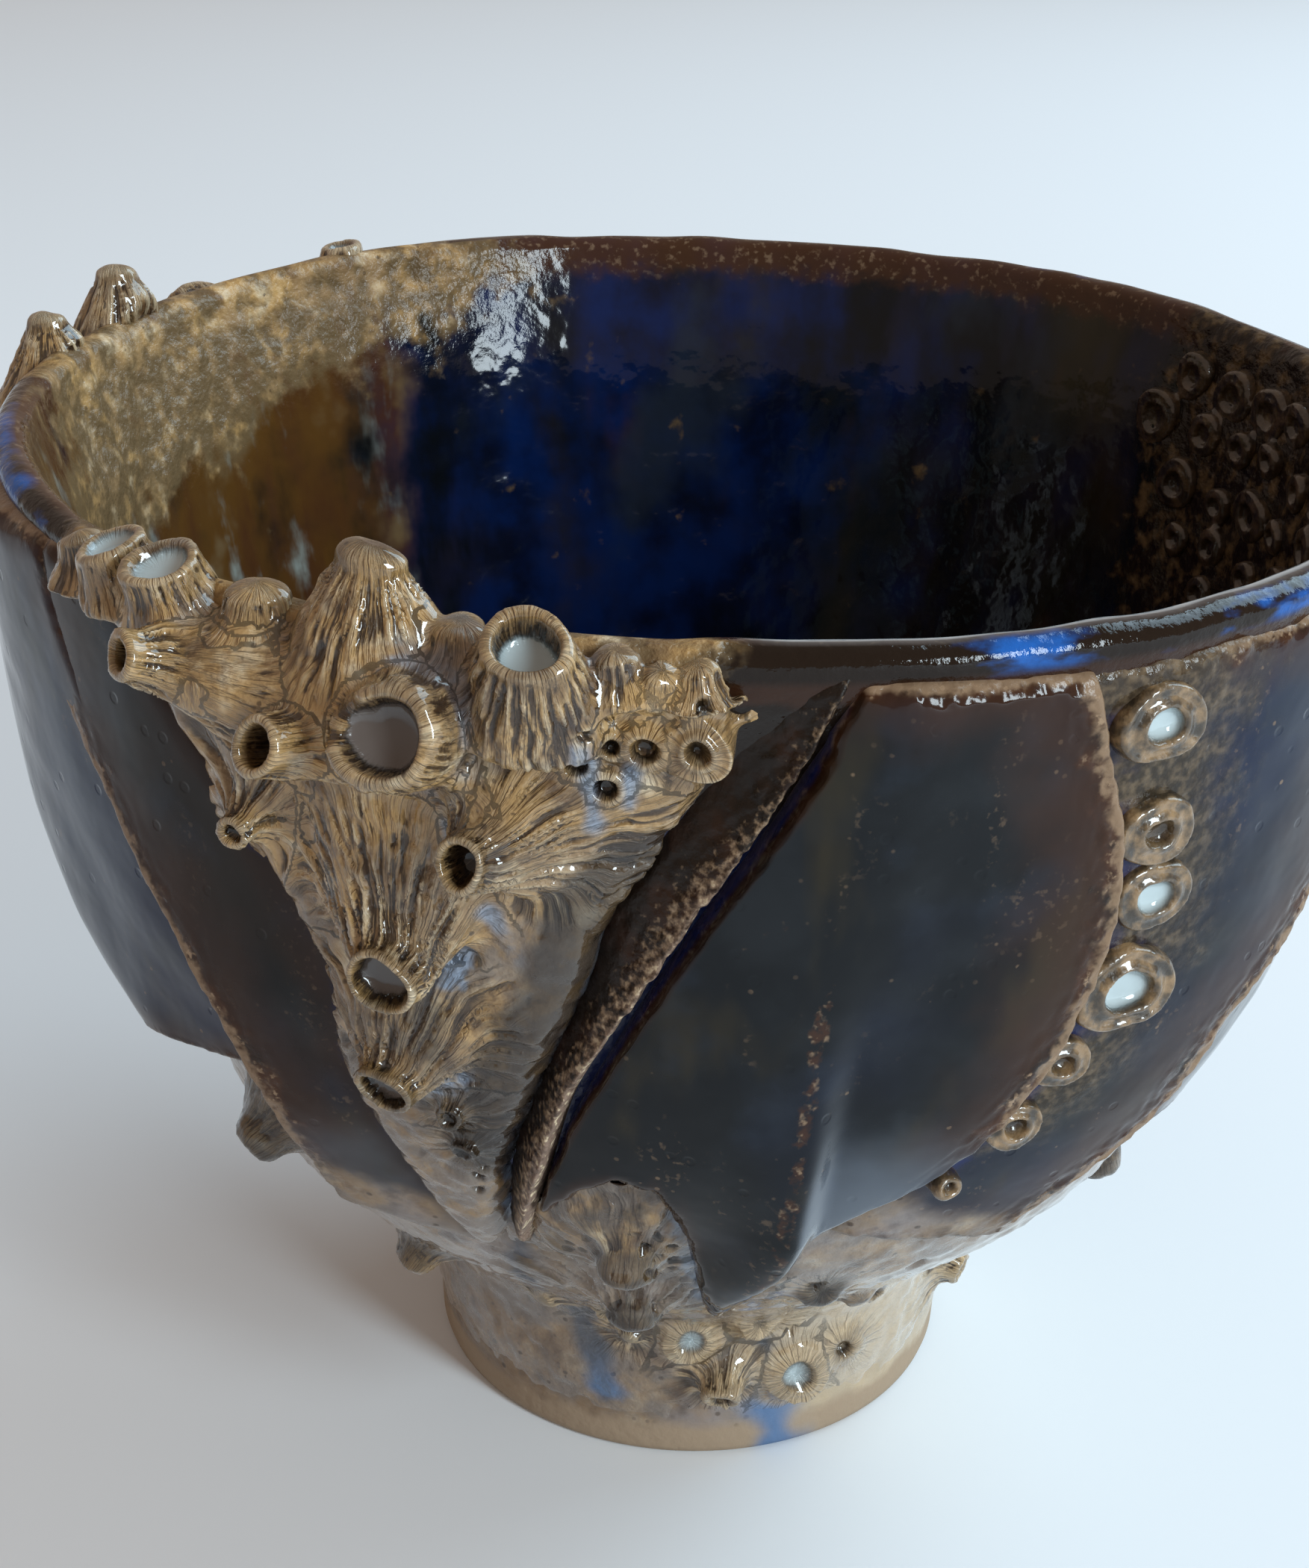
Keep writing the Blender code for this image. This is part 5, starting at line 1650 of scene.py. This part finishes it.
def wall_finish():
    finish = Finish("wall_glaze")
    inside, low = finish.painted("inside"), finish.painted("low")
    height = finish.height + (finish.clouds(6, 3) - 0.5) * 10
    clay, milky = buff_clay(finish), milky_clay(finish)
    bare_foot = (1 - inside) * (finish.height + (finish.clouds(5, 2) - 0.5) * 4).step(5.5, 3.5)
    foot = finish.blend(bare_foot * (1 - finish.painted("blue_run")), milky, BARE_CLAY)
    dark = finish.blend(finish.clouds(6, 3).step(0.4, 0.65), DARK_BROWN, SLATE)
    dark = finish.blend(low.step(0.4, 0.9) * 0.7, dark, SLIT_BLUE)
    dark = finish.blend(finish.height.step(97, 104), dark, DARK_BROWN)
    outside = finish.blend(finish.painted("milk").step(0.7, 0.3), foot, dark)
    rim_line = (finish.height + (finish.clouds(3, 2) - 0.5) * 1.6).step(113.4, 114.4)
    outside = finish.blend(rim_line * finish.height.step(116.5, 115.4) * 0.8, outside, DEEP_RUST)
    # Bright blue along the rim's top: partly cobalt glaze and partly a painted reflection
    blue_cloud = finish.clouds(3.5, 4, finish.stretched((0.6, 0.6, 1.5))) - 0.5
    blue = (finish.painted("rim_blue_and_reflection") + blue_cloud * 3.4).step(0.7, 1.5)
    outside = finish.blend(blue * finish.height.step(115.4, 117), outside, COBALT_AND_REFLECTION_BLUE)
    running = inside_glaze(finish)
    rim_band = (finish.height + (finish.clouds(2.5, 3) - 0.5) * 4).step(113.2, 116)
    flecks = finish.blend(finish.clouds(0.9, 3).step(0.54, 0.72) * 0.5, RUST, TAN_FLECK)
    running = finish.blend(rim_band * 0.85, running, flecks)
    left_clay, right_clay = finish.painted("left_clay"), finish.painted("right_clay")
    ragged = (finish.clouds(4, 4) - 0.5) * 1.8
    liner_clay = finish.blend(finish.clouds(2.2, 4).step(0.42, 0.75) * 0.8, LINER_BUFF, clay)
    running = finish.blend((left_clay + ragged).step(0.3, 0.75), running, liner_clay)
    brown_rings = finish.blend(finish.clouds(2, 4).step(0.45, 0.75), DARK_BROWN, LINER_BUFF)
    running = finish.blend((right_clay + ragged).step(0.3, 0.75), running, brown_rings)
    colour = finish.blend(inside, outside, running)
    rim_clay = (finish.painted("rim_clay") + ragged * 0.7).step(0.3, 0.7) * finish.height.step(113, 115)
    crumb_clay = finish.blend(finish.clouds(3, 4).step(0.35, 0.65), LINER_BUFF, clay)
    colour = finish.blend(rim_clay, colour, crumb_clay)
    # The lip's pale line is a painted highlight
    colour = finish.blend(finish.painted("lip_highlight"), colour, LIP_HIGHLIGHT_WHITE)
    rough_clay = left_clay.most(right_clay * 0.7).most(rim_clay)
    beaten = finish.clouds(1.7, 1.5) * 0.2 + finish.clouds(4, 1) * 0.55
    bump = beaten * inside + finish.clouds(1.5, 4) * (rough_clay * 2 + (1 - inside) * 0.6)
    roughness = 0.08 + 0.5 * bare_foot + 0.2 * rough_clay + 0.15 * (1 - inside) * height.step(50, 40)
    return finish.done(colour, roughness, bump, 0.3)


WALL_FINISH = wall_finish()
print("made", WALL_FINISH.name)

# %% [markdown]
# The barnacles show the clay best. Their grooves hold brown iron, their ridges are pale, the craters hold
# drops of milky glass, and the joints between them are filled with lavender-grey glaze. The thin clear
# coat over it all gives the small hard sparkles.

# %% The barnacles' finish


def barnacle_finish():
    finish = Finish("barnacle_clay")
    groove, relief = finish.painted("groove"), finish.painted("relief")
    gap, low = finish.painted("gap"), finish.painted("low")
    hole, pool, rings = finish.painted("hole"), finish.painted("pool"), finish.painted("rings")
    grain_place = finish.painted_place("grain")
    scored = finish.grain(1.25, 3, grain_place).step(0.36, 0.62)
    colour = buff_clay(finish)
    away = gap.step(0.6, 3)
    lower = finish.height.step(106, 66)
    milk = (away * 0.8 + low * 0.6 + (finish.clouds(6, 4) - 0.5) * 1.5 + lower * 0.55).step(0.45, 1.05)
    blue_share = (low * 0.6 + finish.clouds(4, 4)).step(0.84, 1.1)
    # The clay turns darker brown lower down the bowl, above the foot
    darker_low_down = (lower * 0.75 + (finish.clouds(8, 4) - 0.5) * 2.2).step(0.35, 0.8)
    folds = finish.height.step(28, 34) * finish.height.step(62, 56) * finish.painted("milk").most(0.5)
    colour = finish.blend(darker_low_down * 0.75 * finish.height.step(24, 32), colour, DARK_BROWN)
    colour = finish.blend(folds * finish.clouds(6, 4).step(0.4, 0.6) * 0.6, colour, DARK_BROWN)
    colour = finish.blend(finish.height.step(30, 22) * 0.45, colour, PALE)
    colour = finish.blend(finish.painted("blue_run") * finish.height.step(60, 70) * 0.8, colour, BLUE_MILK)
    milk_colour = finish.blend(finish.clouds(3, 4).step(0.45, 0.62), MILK, BUFF)
    colour = finish.blend(milk * 0.85, colour, finish.blend(blue_share, milk_colour, BLUE_MILK))
    brown = (groove * 1.1 + (0.45 - scored) * 0.9 - relief * 0.7).step(0.2, 0.95)
    colour = finish.blend(brown * (1 - milk * 0.4) * 0.92, colour, GROOVE_BROWN)
    colour = finish.blend(relief.step(0.1, 0.75) * 0.7 * finish.height.step(60, 100), colour, PALE)
    # Painted shade: the craters and pits turn dark brown, darkest deep inside them
    colour = finish.blend(hole * 0.9, colour, DARK_BROWN)
    valley = (finish.painted("valley") + (finish.clouds(4, 4) - 0.5) * 0.7).step(0.25, 0.85)
    colour = finish.blend(valley * 0.8, colour, DARK_BROWN)
    foot_milk = finish.painted("milk") * gap.step(0.2, 1.4)
    colour = finish.blend(foot_milk, colour, milky_clay(finish))
    ring_colour = finish.blend(finish.clouds(1.8, 4).step(0.4, 0.68), UMBER, BUFF)
    colour = finish.blend(rings * (1 - hole), colour, finish.blend(relief.step(0, 0.9), ring_colour, BUFF))
    colour = finish.blend(finish.painted("inner_side") * 0.75, colour, DARK_BROWN)
    bare_foot = (finish.height + (finish.clouds(5, 2) - 0.5) * 4).step(5.5, 3.5)
    colour = finish.blend(bare_foot * (1 - finish.painted("blue_run")), colour, BARE_CLAY)
    colour = finish.blend(pool, colour, finish.blend(finish.painted("smoky"), POOL_WHITE, SMOKY_GLASS))
    fine = scored * 0.7 * gap.step(4, 1) * (1 - rings)
    fine = fine + finish.clouds(0.8, 4) * 0.5 + finish.clouds(2.2, 3) * 0.6
    roughness = 0.34 - 0.26 * pool - 0.12 * milk + 0.2 * bare_foot
    coat = 0.9 * (1 - bare_foot)
    return finish.done(colour, roughness, fine * (1 - pool), 0.45, coat)


BARNACLE_FINISH = barnacle_finish()
print("made", BARNACLE_FINISH.name)

# %% [markdown]
# Each piece takes one of the three finishes, and nothing else tells them apart: what changes over a piece
# is painted on its points.

# %% Give each piece its finish
for name, piece in PIECES.items():
    finish = BARNACLE_FINISH
    if name in PANELS or name in BACK_LEAF_TURNS:
        finish = PANEL_FINISH
    if name == "turned_wall":
        finish = WALL_FINISH
    piece.data.materials.clear()
    piece.data.materials.append(finish)
print("finishes:", [m.name for m in (PANEL_FINISH, WALL_FINISH, BARNACLE_FINISH)])

# %% [markdown]
# The bowl stands on pale paper beside a tall, low window, whose reflection lies broken on the inside
# wall. A wide soft light behind on the right whitens the paper and lines the rim, and the left side falls
# into a warm shade. The dark panels show mostly what they mirror, which is the pale paper in front of
# them.

# %% Floor and soft light
FLOOR_SIZE = 8.0
FLOOR_ROUGHNESS = 0.8
FLOOR_COLOUR = (0.8, 0.84, 0.88)
ROOM_LIGHT = (1.0, 0.8, 0.67)
ROOM_STRENGTH = 0.42
LOOKED_AT = Vector((0, 0, 0.08))

# Each window's place and size in metres, its brightness and its colour
WINDOWS = {
    "side_window": ((0.95, -0.98, 0.6), (0.28, 0.8), 29, (0.8, 0.93, 1.0)),
    "soft_sky": ((1.25, 0.75, 1.15), (1.3, 1.3), 5.4, (0.6, 0.84, 1.0)),
}


def add_floor():
    bm = bmesh.new()
    bmesh.ops.create_grid(bm, x_segments=1, y_segments=1, size=FLOOR_SIZE / 2)
    mesh = bpy.data.meshes.new("pale_floor")
    bm.to_mesh(mesh)
    bm.free()
    floor = bpy.data.objects.new("pale_floor", mesh)
    bpy.context.scene.collection.objects.link(floor)
    material = bpy.data.materials.new("pale_paper")
    material.use_nodes = True
    shader = material.node_tree.nodes["Principled BSDF"]
    shader.inputs["Base Color"].default_value = (*FLOOR_COLOUR, 1)
    shader.inputs["Roughness"].default_value = FLOOR_ROUGHNESS
    mesh.materials.append(material)


def add_window(name, place, size, brightness, colour):
    """A rectangle of soft light that faces the bowl; brightness is what a mirror would show."""
    light = bpy.data.lights.new(name, "AREA")
    light.shape = "RECTANGLE"
    light.size, light.size_y = size
    light.energy = brightness * pi * size[0] * size[1]
    light.color = colour
    lamp = bpy.data.objects.new(name, light)
    lamp.location = place
    lamp.rotation_euler = (LOOKED_AT - Vector(place)).to_track_quat("-Z", "Y").to_euler()
    bpy.context.scene.collection.objects.link(lamp)


add_floor()
for window_name, window in WINDOWS.items():
    add_window(window_name, *window)
world = bpy.data.worlds.new("room")
bpy.context.scene.world = world
world.use_nodes = True
background = world.node_tree.nodes["Background"]
background.inputs["Color"].default_value = (*ROOM_LIGHT, 1)
background.inputs["Strength"].default_value = ROOM_STRENGTH
bpy.context.scene.view_settings.view_transform = "Standard"
print("room light", ROOM_STRENGTH)

# %% [markdown]
# Every piece was fired with the bowl, so each one rides on the one body and stands for the one imported node.

# %% Join the pieces to the imported bowl
for piece in PIECES.values():
    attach(piece, "root")
    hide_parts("bowl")
total = sum(triangles(piece.data) for piece in PIECES.values())
print(len(PIECES), "pieces,", total, "triangles in all")
